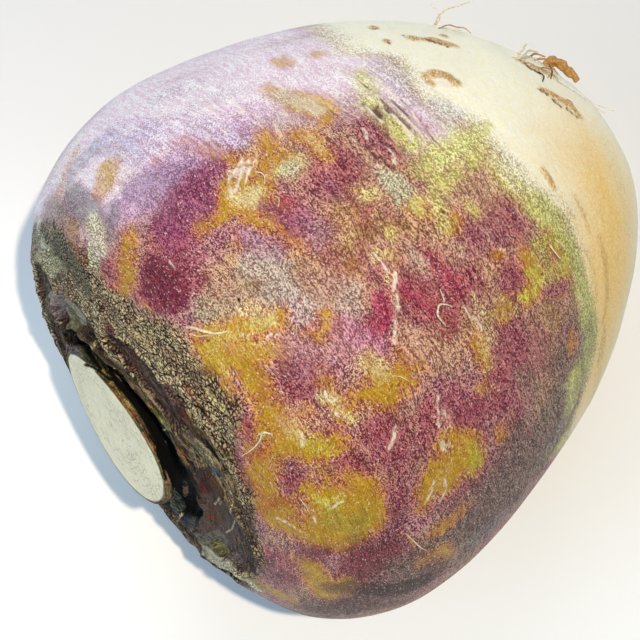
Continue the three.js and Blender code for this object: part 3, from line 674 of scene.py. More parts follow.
    ((190, 188, 164), 0.8, [(-38.2, 72, 3.7), (-41.5, 70, 3.7), (-43.3, 61, 3)]),
    ((182, 180, 158), 0.7, [(-47.5, 73, 2.8), (-51, 71, 2.8)]),
    # The next four daubs, lavender to near white on the upper shoulder, are the bloom's colour with
    # painted sheen in it.
    ((182, 166, 190), 0.5, [(-3, 34, 2.5), (-1.7, 29, 2.6), (-0.1, 25, 2.3)]),
    ((168, 148, 176), 0.45, [(-9, 42, 2.7), (-13.5, 43, 2.7)]),
    ((206, 190, 214), 0.5, [(-1.7, 49, 3.5), (4.4, 47, 3.6)]),
    ((236, 226, 238), 0.5, [(1.9, 39, 3.1), (6.4, 38, 3.1)]),
    ((92, 58, 54), 0.6, [(-21.5, -76, 2.9), (-27.3, -80, 3.2), (-32.6, -89, 3.2)]),
    ((86, 56, 56), 0.5, [(-15.2, -76, 3), (-9.3, -75, 3.2)]),
    ((104, 22, 48), 0.9, [(-29.2, 17, 1.9), (-29.7, 13, 3.3), (-28.9, 9, 2.6), (-31.4, 10, 2.2)]),
    # The next two daubs are painted shade, darker along the lower limb.
    ((70, 36, 34), 0.7, [(-31.1, -71, 2.3), (-27.3, -72, 2.7), (-22.9, -72, 2.7),
     (-18.3, -74, 2.5), (-13, -75, 2.7)]),
    ((84, 50, 46), 0.6, [(-28.3, -81, 2), (-22, -83, 2.3), (-15.4, -85, 2.3)]),
    ((242, 222, 176), 0.7, [(15.1, 30, 1.7), (15.7, 26, 1.9), (17, 22, 1.6)]),
    ((74, 42, 40), 0.6, [(-36.5, -6, 1.3), (-32.8, -7, 1.2)]),
    ((146, 112, 62), 0.6, [(34.6, -37, 2.2), (35, -41, 2.2)]),
    ((188, 168, 94), 0.6, [(38, -27, 2.1), (39.4, -31, 1.9)]),
    ((222, 190, 138), 0.5, [(-19.5, -2, 2), (-17.5, -5, 1.9)]),
    ((220, 176, 122), 0.6, [(-6.5, -21, 2), (-5, -25, 1.8)]),
    ((82, 64, 50), 0.8, [(-44.7, -42, 1.6), (-46.1, -49, 2), (-47.6, -57, 1.8)]),
    ((166, 126, 110), 0.5, [(-7.2, -3, 2), (-6, -6, 2), (-4.8, -9, 1.7)]),
    ((150, 92, 84), 0.4, [(8, -10, 1.8), (9, -13, 1.8), (12.1, -21, 2.3)]),
    ((236, 212, 190), 0.7, [(-5.3, 19, 1.2), (-2.8, 19, 1.2)]),
    # Lavender of the bloom, with painted sheen in it.
    ((184, 166, 208), 0.45, [(-13, 52, 3.1), (-9.7, 46, 3.8), (-11.3, 39, 3.4), (-4.3, 39, 3.5)]),
    ((128, 98, 134), 0.55, [(-20.1, 34, 2.4), (-16.7, 31, 2.6), (-13.9, 28, 2.3),
     (-20.5, 29, 2)]),
    ((206, 158, 118), 0.5, [(11, 17, 2), (11.4, 14, 1.7)]),
    ((140, 64, 78), 0.5, [(-11.5, -32, 2), (-11.3, -36, 2.3), (-10.2, -40, 2.1),
     (-13, -34, 1.8)]),
    ((138, 62, 80), 0.45, [(2.8, -37, 2.4), (4.7, -41, 2.3), (10, -41, 2.3)]),
    ((120, 52, 64), 0.5, [(-18.3, -35, 1.8), (-17.1, -38, 1.6), (-20.5, -35, 1.4)]),
    ((112, 40, 48), 0.6, [(-28.9, -32, 1.4), (-28.1, -34, 1.2), (-31, -37, 1.2)]),
    ((130, 44, 60), 0.55, [(-32.5, -20, 1.2), (-33.2, -23, 1.2)]),
    ((112, 40, 56), 0.6, [(-38.5, -26, 1.1), (-39.9, -30, 1.4), (-40.4, -34, 1.1)]),
    ((96, 48, 52), 0.5, [(-15, -49, 1.8), (-13.7, -51, 1.8), (-16.9, -54, 2.1)]),
    ((150, 142, 116), 0.6, [(1, -89, 2.8), (-3.8, -90, 2.8), (-8.3, -92, 2.8), (6.7, -89, 2.8)]),
    ((120, 72, 58), 0.45, [(-12.6, -65, 2.5), (-8.3, -73, 2.6)]),
    ((150, 104, 92), 0.5, [(-7, -5, 2.6), (-5.5, -8, 2.6)]),
    ((86, 20, 38), 0.6, [(-28.1, 18, 1.9), (-31.6, 15, 2.2), (-28.3, 13, 2.4)]),
    ((178, 138, 112), 0.5, [(19.3, -12, 2.8), (20.3, -16, 2.9)]),
    # Painted shade: the darkest daub, on the lower limb.
    ((52, 22, 20), 0.8, [(-26.8, -70, 2.6), (-22.2, -73, 2.8), (-16.9, -76, 3),
     (-11.9, -76, 2.4)]),
    ((222, 178, 122), 0.5, [(-6.7, -22, 1.8), (-5, -24, 1.6)]),
    ((170, 124, 112), 0.4, [(4.7, -27, 2.1), (6.7, -30, 2.1)]),
    ((148, 70, 84), 0.5, [(-26, 118, 5), (-18, 116, 5)]),
    ((176, 130, 120), 0.5, [(-4, 128, 5), (4, 130, 5)]),
    ((140, 98, 62), 0.5, [(12, 132, 5), (18, 138, 4)]),
    ((120, 60, 84), 0.5, [(-14, 150, 6), (-8, 156, 6)]),
    ((168, 150, 140), 0.5, [(2, 172, 6), (8, -176, 6)]),
    ((110, 44, 56), 0.6, [(-22, -140, 6), (-14, -132, 6)]),
    ((150, 110, 84), 0.5, [(-6, -144, 5), (2, -150, 5)]),
    ((176, 140, 150), 0.5, [(20, -178, 5), (24, 172, 5)]),
    ((96, 60, 60), 0.5, [(18, -124, 6), (8, -126, 6)]),
    ((190, 170, 110), 0.5, [(30, 178, 4), (33, -176, 4)]),
    ((240, 214, 150), 0.6, [(52, 150, 6), (56, 166, 6)]),
    ((228, 190, 124), 0.5, [(62, -150, 6), (56, -160, 5)]),
    ((230, 168, 96), 0.5, [(50, 128, 1.2), (56, 130, 1.4), (62, 128, 1)]),
    ((222, 166, 100), 0.5, [(48, -130, 1), (56, -134, 1.3), (64, -130, 1)]),
    ((216, 160, 96), 0.5, [(70, 120, 1), (76, 126, 1.2)]),
    ((186, 160, 186), 0.5, [(-28, 98, 5), (-20, 100, 5)]),
    ((186, 138, 84), 0.8, [(111, 0, 2), (112, 120, 2.2), (111, -120, 2)]),
    ((206, 168, 110), 0.8, [(115.5, 0, 2.4), (115.5, 120, 2.4), (115.5, -120, 2.4)]),
]


def paint(red, green, blue):
    """A colour as it looks on a screen, 0 to 255, turned to the linear light shaders use."""
    part = np.array([red, green, blue]) / 255
    linear = np.where(part <= 0.04045, part / 12.92, ((part + 0.055) / 1.055) ** 2.4)
    return (*linear.tolist(), 1.0)


def daubed(daubs, soft=1.1):
    """Colour times cover, and cover: each daub lays its own colour over its share of what is
    there, so old cover keeps (1 - share) of itself and the new one adds its share. Its edge
    fades over `soft` mm on either side."""
    total = np.zeros((*along.shape, 4))
    for tone, strength, knots in daubs:
        share = strength * smooth(reach(smooth_skin, [knots]), -soft, soft)[..., None]
        total = total * (1 - share) + share * np.array(paint(*tone))
    return total


daub = daubed(DAUBS)
print("daubs cover", round(100 * float((daub[..., 3] > 0.2).mean())), "% of the grid")

# %% [markdown]
# ## Where purple gives way to cream
# The part of the root that grew above the soil is purple, and the part below is cream. The
# line between them isn't level: it wanders round the root. The border is a list of places on
# it, joined round the root, and each vertex keeps its distance past the border.

# %% The border of the cream end
# each: longitude (deg), the border's place along the outline (mm)
BORDER = np.array([
    [-180, 40], [-150, 36], [-120, 37], [-95, 35], [-84, 34.3], [-76, 34.6], [-71, 36.7],
    [-67, 41.1], [-61, 46.3], [-55, 47.4], [-47, 48.4], [-39, 49.5], [-32, 51.3],
    [-25, 51.7], [-18.6, 49.5], [-14, 46], [-8, 45.6], [-4, 44.6], [2, 43.5], [7, 42.1],
    [11, 40.1], [15, 38.7], [21, 40.4], [29, 43.2], [35, 36], [50, 39.4], [75, 44],
    [100, 47], [125, 44], [150, 41], [180, 40]])


def past_border(border):
    """How far past a border each vertex is, in mm and at most 30: the border's own place at
    each longitude is read from a table whose places are joined by straight lines."""
    return np.clip(along - np.interp(np.degrees(around), border[:, 0], border[:, 1]), -30, 30)


fields["pale"] = past_border(BORDER)
print("cream share of the grid:", round(float((fields["pale"] > 0).mean()), 3))

# %% [markdown]
# ## Gold in the cream
# The cream rind isn't one colour either: along its border and on one flank it deepens to a
# warm gold. The field is kept up to 30 mm from the strokes, so that the material can let the
# gold fade over a long way.

# %% Where the cream end turns gold
GOLD = [
    [(68.8, -26, 3.3), (66.2, -38, 5.6), (59, -48, 7.3), (51.3, -56, 6.2), (45.6, -64, 3.4)],
    [(46, -110, 6), (50, -130, 5), (46, -150, 4)], [(60, 150, 4), (56, 130, 4)], [(74, -150, 4)],
]
fields["gold"] = reach(smooth_skin, GOLD, 30.0)
print("golden share of the grid:", round(float((fields["gold"] > 0).mean()), 3))

# %% [markdown]
# ## The crown
# The leaves grew from the crown, so it is the oldest and roughest skin. From the outside in
# there are: a corky ring cracked into plates, the smooth crescents that leaf stalks left when
# they fell, torn sheaths round a dark gap, and the neck, cut flat. Two borders divide them.

# %% Borders round the crown
CROWN_BORDER = np.array([
    [-180, -40], [-150, -38], [-120, -44], [-100, -47], [-83, -48.3], [-65, -45.1],
    [-59, -46], [-47, -44.5], [-40, -41.3], [-33, -40.4], [-25, -39.1], [-21, -34.6],
    [-16, -32.2], [-5, -32.8], [5, -32.6], [11, -36], [18, -37.3], [26, -38.7], [40, -37],
    [60, -36], [90, -37], [120, -38], [150, -36], [180, -40]])
SCAR_BORDER = np.array([
    [-180, -49], [-150, -46], [-122, -51], [-100, -54], [-75, -54.1], [-51, -49.4],
    [-36, -43.9], [-24, -42.4], [-18, -43.2], [-12, -43.9], [-5, -46.4], [0, -50.5],
    [6, -54.5], [11, -56.2], [22, -58.2], [38, -57.5], [50, -53], [75, -48], [105, -50],
    [135, -46], [160, -49], [180, -49]])
fields["past_crown"] = past_border(CROWN_BORDER)
fields["past_scars"] = past_border(SCAR_BORDER)
print("crown share of the grid:", round(float((fields["past_crown"] < 0).mean()), 3))

# %% [markdown]
# ## Marks on the crown
# The crown is a patchwork of torn sheaths. Its thinnest marks, dark cracks and pale torn
# rims, are strokes a few tenths of a millimetre wide; the widest dark stroke is painted
# shadow in the opening of the gap. The calm places are leaf scars without fibres, and patches
# of local colour stand for the sheaths between them, one dark slate-blue patch being painted
# shade inside a torn flap. An image would do this too, but a stroke stays sharp at any
# distance and can be moved by hand.

# %% Cracks, ridges, painted shade and patches of the crown
INK = [
    [(-58.3, 73, 0.5), (-60.5, 76, 0.6), (-62.9, 89, 0.6), (-65.9, 101, 0.5), (-74.1, 46, 0.5),
     (-74.7, 35, 0.5), (-74.9, 27, 0.5)],
    [(-58.7, 82, 0.5), (-60.2, 91, 0.5)], [(-72.3, 60, 0.5), (-71.4, 52, 0.5), (-69.7, 48, 0.4)],
    [(-71.6, 64, 0.5), (-66.8, 102, 0.5)], [(-70.7, 34, 0.3), (-71.7, 28, 0.4)],
    [(-72.3, 24, 0.2), (-60.2, 14, 0.4)], [(-74, 26, 0.2), (-73.9, 18, 0.2), (-73.5, 13, 0.2)],
    [(-61.5, 119, 0.3), (-77.6, 44, 0.5), (-76, 30, 0.4), (-75.4, 23, 0.3), (-75, 16, 0.3)],
    # This stroke, widening to 2.5 mm, is painted shadow in the opening of the gap.
    [(-74.4, 16, 0.3), (-74.1, 10, 0.6), (-73.8, 4, 0.8), (-73.5, -2, 1), (-73.4, -9, 1.1),
     (-73.4, -16, 1.2), (-73.4, -24, 1.4), (-73.1, -32, 1.7), (-73, -42, 2.1), (-72.8, -53, 2.4),
     (-72.4, -66, 2.3), (-71.7, -83, 2.5), (-66.6, -120, 1.3)],
    [(-74.2, -36, 0.8), (-75.1, -42, 0.8), (-74.9, -52, 1)],
    [(-75.6, -53, 0.3), (-75.8, -62, 0.4), (-66.5, -139, 0.5)],
    [(-73.1, -58, 0.4), (-67.2, -116, 0.7), (-69.5, -88, 1.1)],
    [(-67.2, -113, 0.4), (-65.5, -109, 0.4), (-62.9, -101, 0.4)],
    [(-63.8, -135, 0.3), (-59.3, -141, 0.4)], [(-58.2, -143, 0.5), (-57.4, -142, 0.6)],
    [(-65.4, -122, 0.6), (-64.2, -118, 0.6)],
    [(-69.1, -32, 0.3), (-69.2, -40, 0.3), (-69.1, -49, 0.3), (-68.5, -58, 0.4)],
    [(-67.5, -23, 0.3), (-47.6, -12, 0.3), (-48.2, -16, 0.3)],
    [(-43.8, -9, 0.3), (-43.5, -12, 0.3), (-43.3, -15, 0.3), (-42.7, -18, 0.3)],
    [(-42.1, -10, 0.3), (-41, -12, 0.3), (-40.7, -15, 0.3), (-40.2, -18, 0.3)],
    [(-42.4, -20, 0.3), (-41.8, -22, 0.4)],
    [(-40.2, -21, 0.3), (-39.9, -23, 0.3), (-39.8, -25, 0.3)], [(-69, -70, 0.4), (-69.7, -78, 0.7)],
    [(-45.5, -20, 0.2), (-45.5, -23, 0.2), (-45.5, -27, 0.2), (-45, -30, 0.2)],
    [(-46.4, -22, 0.2), (-45.8, -26, 0.2)], [(-54.5, -142, 0.5), (-52.2, -141, 0.6)],
    [(-55.5, -128, 0.5), (-53.4, -131, 0.6)], [(-50.5, -105, 0.5), (-49, -106, 0.5)],
    [(-75, -27, 0.2), (-75.1, -34, 0.2)], [(-40.5, -11, 0.2), (-40.4, -13, 0.2)],
    [(-44.4, -6, 0.3), (-43.9, -8, 0.4), (-43.6, -11, 0.3)], [(-36.9, -12, 0.2), (-34.4, -11, 0.2)],
    [(-38.4, -12, 0.2), (-37.2, -15, 0.2)], [(-34, -13, 0.2), (-35.9, -14, 0.2)],
    [(-24.4, -3, 0.2), (-24.4, -5, 0.2)], [(-27.1, -13, 0.2)], [(-19.7, 1, 0.2), (-19.9, 0, 0.2)],
    [(-37.3, -10, 0.2), (-36.2, -11, 0.2)], [(-34.4, -9, 0.2), (-32.8, -9, 0.1)],
    [(-72.4, -31, 0.5), (-72.3, -40, 0.8), (-71.9, -49, 1.1), (-71.5, -58, 1.2),
     (-71.1, -70, 1.2), (-70, -88, 1.2)],
    [(-72.5, -15, 0.3), (-72.4, -22, 0.4)],
    [(-60.9, 10, 0.7), (-60.8, 0, 0.9), (-60.7, -12, 1), (-60.6, -24, 1.1), (-60.5, -36, 1.3),
     (-60.6, -48, 1.2), (-61, -58, 0.9)],
]
STRAW = [
    [(-58.4, 29, 0.2), (-71.9, 35, 0.2), (-72.9, 29, 0.2), (-72.9, 25, 0.2)], [(-75.2, 28, 0.1)],
    [(-71.9, 25, 0.1), (-59.8, 15, 0.2)], [(-73.1, 21, 0.1), (-73.2, 16, 0.1), (-73.3, 11, 0.1)],
    [(-72, 13, 0.1), (-72.1, 7, 0.1), (-72.2, 1, 0.1)],
    [(-74.8, 5, 0.1), (-75, -2, 0.1), (-74.8, -8, 0.1)], [(-72.4, -20, 0.1)],
    [(-72, -27, 0.1), (-60.4, -20, 0.2)], [(-43.2, -15, 0.1), (-43.2, -17, 0.2), (-42.9, -18, 0.2)],
    [(-43.2, -9, 0.1), (-42.7, -12, 0.1), (-43, -15, 0.1)], [(-42.9, -12, 0.1), (-42.7, -14, 0.1)],
    [(-71.5, -37, 0.1), (-59.8, -29, 0.1), (-58.7, -30, 0.1)], [(-42.7, -20, 0.1)],
    [(-70.5, -47, 0.1), (-69.8, -53, 0.1)],
    [(-47.6, -32, 0.1), (-46.2, -33, 0.2), (-46, -35, 0.2), (-46.7, -38, 0.2), (-47.6, -42, 0.2),
     (-49.8, -48, 0.2), (-51.9, -56, 0.2), (-54.5, -66, 0.2), (-57, -79, 0.2)],
    [(-62.7, -122, 0.2), (-56.6, -142, 0.3)], [(-58, -145, 0.2), (-62.6, -124, 0.2)],
    [(-37.3, -19, 0.2), (-37.5, -21, 0.2)], [(-66.9, -96, 0.1), (-64.5, -90, 0.2)],
    [(-58.3, -60, 0.2), (-54, -47, 0.2)], [(-56.2, -55, 0.2), (-52.7, -46, 0.1)],
    [(-75.4, -18, 0.1), (-75.7, -26, 0.1), (-75.9, -35, 0.1), (-76, -46, 0.2)],
    [(-72.6, -38, 0.1), (-72.4, -43, 0.1)],
    [(-60.4, 105, 0.1), (-62.1, 107, 0.1), (-74.8, 48, 0.1)], [(-56.3, 83, 0.2), (-58.2, 79, 0.2)],
    [(-42.2, 14, 0.1), (-42.2, 11, 0.1), (-41.6, 9, 0.1)],
    [(-41.1, 24, 0.2), (-41.1, 21, 0.2), (-40.5, 18, 0.2)], [(-43.2, 20, 0.2), (-41.6, 16, 0.2)],
    [(-37, 17, 0.1), (-36.5, 15, 0.1), (-35.7, 11, 0.1)], [(-40.4, 31, 0.2), (-40.4, 28, 0.2)],
    [(-35.6, 47, 0.1), (-36, 43, 0.1), (-36.6, 39, 0.1)],
    [(-32.8, 21, 0.1), (-34, 18, 0.1), (-34.4, 15, 0.1)], [(-41.1, -13, 0.1), (-40.7, -16, 0.1)],
    [(-51.8, -61, 0.1), (-49.9, -62, 0.1), (-46.8, -54, 0.1)],
    [(-45.1, -45, 0.1), (-45.8, -48, 0.1)], [(-45.4, -42, 0.1), (-43.3, -40, 0.1)],
]
CALM = [
    [(-42.9, 77, 2.8), (-45.4, 76, 3.7), (-48.2, 72, 4.1), (-51.1, 68, 4.6), (-53.7, 63, 4.6),
     (-55.8, 57, 4.6), (-57.9, 50, 3.8), (-69.3, 68, 2.7)],
    [(-53.2, -35, 2.9), (-52.4, -39, 4.6), (-54.6, -48, 6.9), (-58.7, -66, 6.4), (-60, -87, 5.5)],
    [(-57, -122, 2.8), (-54.3, -120, 3.7), (-51.2, -118, 3.7), (-49.3, -110, 3.2),
     (-47.4, -109, 2.3)],
    [(-54, 112, 1.6), (-55, 120, 2)], [(-54, -162, 1.8), (-55, -152, 1.8)],
]
PATCHES = [
    ((150, 146, 140), 1, [(-37.3, 74, 2.3), (-40.1, 74, 2.8)]),
    ((166, 168, 136), 1, [(-42.9, 77, 2.3), (-43.5, 63, 2.2), (-43, 54, 1.6)]),
    ((188, 186, 168), 1, [(-45.4, 76, 2.3), (-48.2, 72, 3.2), (-51.1, 68, 3.7), (-53.8, 65, 3.2),
     (-55.2, 57, 2.8), (-55.6, 50, 2.3)]),
    ((150, 136, 148), 1, [(-50.1, 66, 1.4), (-53.2, 68, 1.4), (-55.1, 80, 1.4)]),
    ((146, 142, 108), 1, [(-47.9, 84, 1.4), (-50.8, 87, 1.4), (-52.6, 92, 1.4)]),
    ((124, 124, 92), 1, [(-55.2, 63, 1.8), (-58.1, 58, 2.2), (-65.2, 77, 2.3), (-70.3, 64, 1.8)]),
    ((62, 74, 68), 1, [(-66.7, 61, 1.4), (-68.2, 50, 1.3), (-72.2, 58, 0.9)]),
    ((148, 140, 154), 1, [(-54.5, 95, 1.4), (-55.8, 102, 1.6), (-59.2, 103, 2),
     (-61.4, 103, 1.4)]),
    ((104, 114, 128), 1, [(-76.1, 67, 1.4), (-76.5, 53, 1.4)]),
    ((34, 62, 36), 1, [(-74.8, 48, 0.6), (-75, 40, 0.8), (-75.1, 32, 0.6)]),
    ((132, 126, 58), 1, [(-72.8, 48, 0.9), (-73.3, 39, 1.1), (-74.1, 32, 0.9), (-74.3, 24, 0.7)]),
    ((176, 166, 116), 1, [(-72.5, 53, 0.5), (-59.6, 33, 0.6)]),
    ((168, 114, 50), 1, [(-72.7, 23, 0.5), (-72.8, 18, 0.6), (-72.7, 11, 0.5)]),
    ((150, 120, 78), 1, [(-71.3, 13, 0.6), (-59, 5, 0.9), (-71.2, -4, 0.6), (-57.3, -7, 1)]),
    ((70, 30, 28), 1, [(-69.8, 4, 0.7), (-69.4, -4, 1.1), (-69, -12, 1.1), (-67.9, -18, 1.2)]),
    ((96, 74, 62), 1, [(-51.2, 20, 1.1), (-68.5, 22, 0.7), (-51.3, 8, 1.1)]),
    ((94, 44, 26), 1, [(-68.6, -16, 0.7), (-48.2, -9, 1.1), (-45.7, -11, 1.2),
     (-45.8, -14, 0.9)]),
    ((84, 60, 62), 1, [(-45.3, -4, 1.8), (-45.4, -8, 1.5)]),
    ((104, 118, 100), 1, [(-60.6, -6, 0.8), (-71.7, -15, 0.4)]),
    ((112, 110, 34), 1, [(-59, -11, 1.1), (-56.2, -12, 1.8), (-68.6, -24, 0.9)]),
    ((60, 50, 16), 1, [(-68, -20, 0.5), (-48.1, -12, 0.8), (-47.5, -14, 0.8)]),
    ((204, 196, 108), 1, [(-58.6, -15, 0.8), (-56.2, -16, 1.3), (-69.3, -31, 0.5)]),
    ((122, 104, 74), 1, [(-71.3, -33, 0.7), (-57.8, -23, 1.4), (-58.3, -27, 1.1)]),
    ((108, 58, 30), 1, [(-69.2, -35, 0.5), (-69.1, -42, 0.5), (-54, -25, 0.9)]),
    ((150, 110, 64), 1, [(-56.4, -24, 0.9), (-57.7, -29, 0.9), (-55.8, -31, 1.4)]),
    ((80, 60, 36), 1, [(-46.5, -15, 1.2), (-45.4, -18, 1.2)]),
    ((112, 84, 86), 1, [(-48.3, -18, 0.8), (-46.2, -20, 0.7)]),
    ((134, 144, 114), 1, [(-67.4, -44, 1.1), (-48.9, -23, 1.4), (-49, -26, 1.3)]),
    ((190, 180, 70), 1, [(-68.2, -57, 0.4)]),
    ((122, 108, 94), 1, [(-44.4, -20, 0.9), (-44.2, -23, 1), (-43.9, -27, 1)]),
    ((108, 94, 58), 1, [(-41.5, -23, 0.6), (-41.5, -26, 0.7)]),
    ((74, 66, 56), 1, [(-69.9, -60, 0.8), (-68.9, -66, 0.8), (-68.2, -75, 0.9)]),
    ((92, 76, 74), 1, [(-53.2, -35, 2.5), (-52.4, -39, 3.8), (-54.6, -48, 6.4), (-58.7, -66, 6),
     (-60.2, -89, 5.5), (-59, -90, 3.7)]),
    ((58, 48, 58), 1, [(-53.5, -34, 1.7), (-51, -33, 1.4)]),
    ((76, 86, 102), 1, [(-48.3, -30, 1), (-46.7, -31, 1.1)]),
    ((78, 18, 24), 1, [(-67.3, -81, 1.8), (-53.6, -40, 2.2), (-52.2, -41, 1.9), (-51, -42, 1.3)]),
    ((112, 60, 26), 1, [(-60.8, -75, 0.8), (-59.5, -74, 1.3), (-58.6, -74, 0.9)]),
    ((124, 124, 116), 1, [(-58.3, -117, 1.8), (-58.2, -107, 2.3), (-57.6, -88, 1.8)]),
    # This dark slate-blue patch is painted shade inside a torn flap where the gap opens.
    ((44, 58, 74), 1, [(-65.8, -120, 1.1), (-64, -117, 1.4), (-61.9, -115, 2.3),
     (-59.8, -122, 1.8)]),
    ((106, 112, 122), 1, [(-62.7, -108, 0.8), (-60.5, -115, 1.1)]),
    ((148, 122, 98), 1, [(-75.3, -57, 0.5), (-74.8, -67, 0.9), (-66.8, -131, 0.9)]),
    ((108, 128, 130), 1, [(-65.2, -140, 0.9), (-64, -135, 1.1), (-63.2, -128, 1)]),
    ((122, 130, 96), 1, [(-55.1, -139, 1.8), (-55, -135, 2.3), (-54.6, -130, 1.8)]),
    ((156, 146, 108), 1, [(-51.6, -134, 2.3), (-51.9, -125, 3.2), (-51.6, -115, 3.2),
     (-50.2, -109, 2.8), (-48.1, -108, 2.3)]),
    ((138, 124, 120), 1, [(-54.1, -109, 1.8), (-52.9, -105, 1.8), (-53.2, -89, 1.4)]),
    ((146, 144, 92), 1, [(-56.6, -109, 2.3), (-56.2, -98, 1.8)]),
    ((40, 30, 42), 1, [(-50.3, -83, 1.3), (-48.9, -82, 1.3)]),
    ((152, 130, 52), 1, [(-47.6, -92, 1.8), (-45.8, -91, 1.8)]),
    ((172, 152, 122), 1, [(-64.6, 128, 0.5), (-67, 132, 0.8)]),
    ((120, 104, 60), 1, [(-78.7, 31, 1.1), (-76.5, 16, 1.2), (-75.9, 8, 0.8)]),
    ((172, 132, 62), 1, [(-76, 14, 0.7), (-75.8, 5, 0.7), (-76, -2, 0.9), (-76.3, -7, 1.1)]),
    ((200, 142, 92), 1, [(-76, -10, 0.6), (-75.6, -14, 0.5)]),
    ((118, 120, 70), 1, [(-76.1, -18, 0.6), (-75.8, -22, 0.5)]),
    ((112, 86, 76), 1, [(-74.7, -16, 0.5), (-74.5, -22, 0.5), (-74.8, -28, 0.5)]),
    ((172, 122, 82), 1, [(-75.8, -24, 0.5), (-75.7, -31, 0.6), (-75.3, -37, 0.5)]),
    ((168, 174, 112), 1, [(-76.9, -39, 0.7), (-76.6, -46, 0.7), (-76.2, -54, 0.6)]),
    ((250, 250, 246), 1, [(-73.7, -9, 0.3)]),
    ((66, 36, 24), 1, [(-50.8, -35, 1.8), (-49.8, -37, 1.8), (-50.7, -42, 1.5)]),
    ((86, 64, 52), 1, [(-56.2, -55, 2.3), (-58.8, -70, 1.7)]),
    ((236, 226, 186), 1, [(-52.6, -132, 3.7), (-53.2, -121, 4.1), (-52.3, -112, 4.1),
     (-50.7, -104, 3.7), (-48.2, -100, 3.2)]),
    ((168, 166, 132), 1, [(-47.4, -20, 0.9), (-46.8, -23, 0.9), (-46.9, -27, 0.9)]),
    ((150, 140, 112), 1, [(-50.2, 86, 2.3), (-54.5, 85, 2.3)]),
    ((178, 162, 124), 1, [(-42.9, 15, 0.9), (-41.9, 11, 0.9), (-41.9, 7, 0.9)]),
    ((112, 66, 56), 1, [(-48.2, 23, 1.4), (-49.3, 18, 1.4), (-49.8, 12, 1.4)]),
    ((126, 70, 50), 1, [(-39.8, -6, 0.4), (-39.8, -10, 0.4), (-39.9, -14, 0.4),
     (-39.8, -18, 0.4)]),
    ((206, 190, 140), 1, [(-36.5, -10, 0.8), (-36.2, -13, 1), (-35.1, -16, 0.8)]),
]
fields["ink"] = reach(smooth_skin, INK, 3.0)
fields["straw"] = reach(smooth_skin, STRAW, 3.0)
fields["calm"] = reach(smooth_skin, CALM, 3.0)
patch = daubed(PATCHES, 0.35)
print("crown marks:", len(INK), "dark,", len(STRAW), "pale,", len(PATCHES), "patches")

# %% [markdown]
# ## Relief
# What can be seen in outline has to be in the mesh: leaf scars with a raised rim, the lip
# round the neck and its ragged edge, and the gap behind it. Each is a height above the smooth
# skin, written as a formula of the two parameters, so they add up without any seam.

# %% Relief of the crown
# each: along the outline (mm), longitude (deg), half its length (mm), half its width (deg)
LEAF_SCARS = [(-54, -68, 6.5, 38), (-55, 52, 5, 30), (-50, 4, 4.5, 22), (-54, 118, 6.5, 34),
              (-54, -158, 6.5, 34), (-47, 166, 4, 20), (-47, -118, 4, 18), (-46, 84, 4, 20)]
LIP = -60.6                        # the rim of the gap round the neck, along the outline, mm
CREVICE = (-74.4, -61.5)           # where the gap starts and ends along the outline, mm
FACE_RIM = -76.5                   # the rim of the cut face along the outline, mm


def leaf_scar(place, longitude, half_along, half_angle):
    """A crescent left by a leaf: how far each vertex is from its middle, 1 on its rim. The
    ends bend towards the neck, as a stalk that clasps the crown does."""
    angle = turn_from(around, math.radians(longitude)) / math.radians(half_angle)
    bent = along - place + 2.2 * angle ** 2
    return np.hypot(bent / half_along, angle)


ribbon = np.stack([along * 2.4, around * 14, 0 * along], -1)
rough = smooth(along, LIP - 1.5, LIP) * (1 - smooth(fields["past_crown"], -3, 3))
folds = 1 - np.abs(noise(ribbon, 5, 2)) - 0.5
relief = swell + rough * (0.9 * folds + 0.35 * noise(smooth_skin, 2.2, 3))
fields["leaf_scar"] = np.full(along.shape, 3.0)
for scar in LEAF_SCARS:
    away = leaf_scar(*scar)
    dish = smooth(-away, -1.05, -0.85) * rough
    relief = relief * (1 - 0.8 * dish) - 0.9 * dish + 0.55 * bell(away - 1.05, 0.1) * rough
    fields["leaf_scar"] = np.minimum(fields["leaf_scar"], away)
gap = smooth(along, CREVICE[0], CREVICE[0] + 3) * (1 - smooth(along, CREVICE[1] - 4, CREVICE[1]))
relief = relief - 2.2 * gap
relief += 0.5 * bell(along - LIP, 1.4) * (1 + 1.6 * noise(ribbon, 2.6, 4))
relief -= 1.1 * smooth(fields["ink"], -0.3, 0.6) * (1 - gap)
relief += 0.2 * smooth(fields["straw"], -0.3, 0.3)
face = 1 - smooth(along, FACE_RIM - 1.5, FACE_RIM)
relief += face * (0.18 * noise(smooth_skin, 5, 5) + 0.07 * noise(smooth_skin, 1.6, 6))
print("crown relief, mm:", np.round([relief.min(), relief.max()], 2))

# %% [markdown]
# ## Scars of the root end
# Side roots broke out here in two rows and were trimmed off. Each left a tan, corky slit, and
# the skin round it is creased. The widest whorl of creases runs over the middle of the belly's
# cream border. They are lines again, so they are strokes: dark grooves, and pale ridges. A few
# of the pale strokes, on the scraped flesh of the upper shoulder, are painted glints.

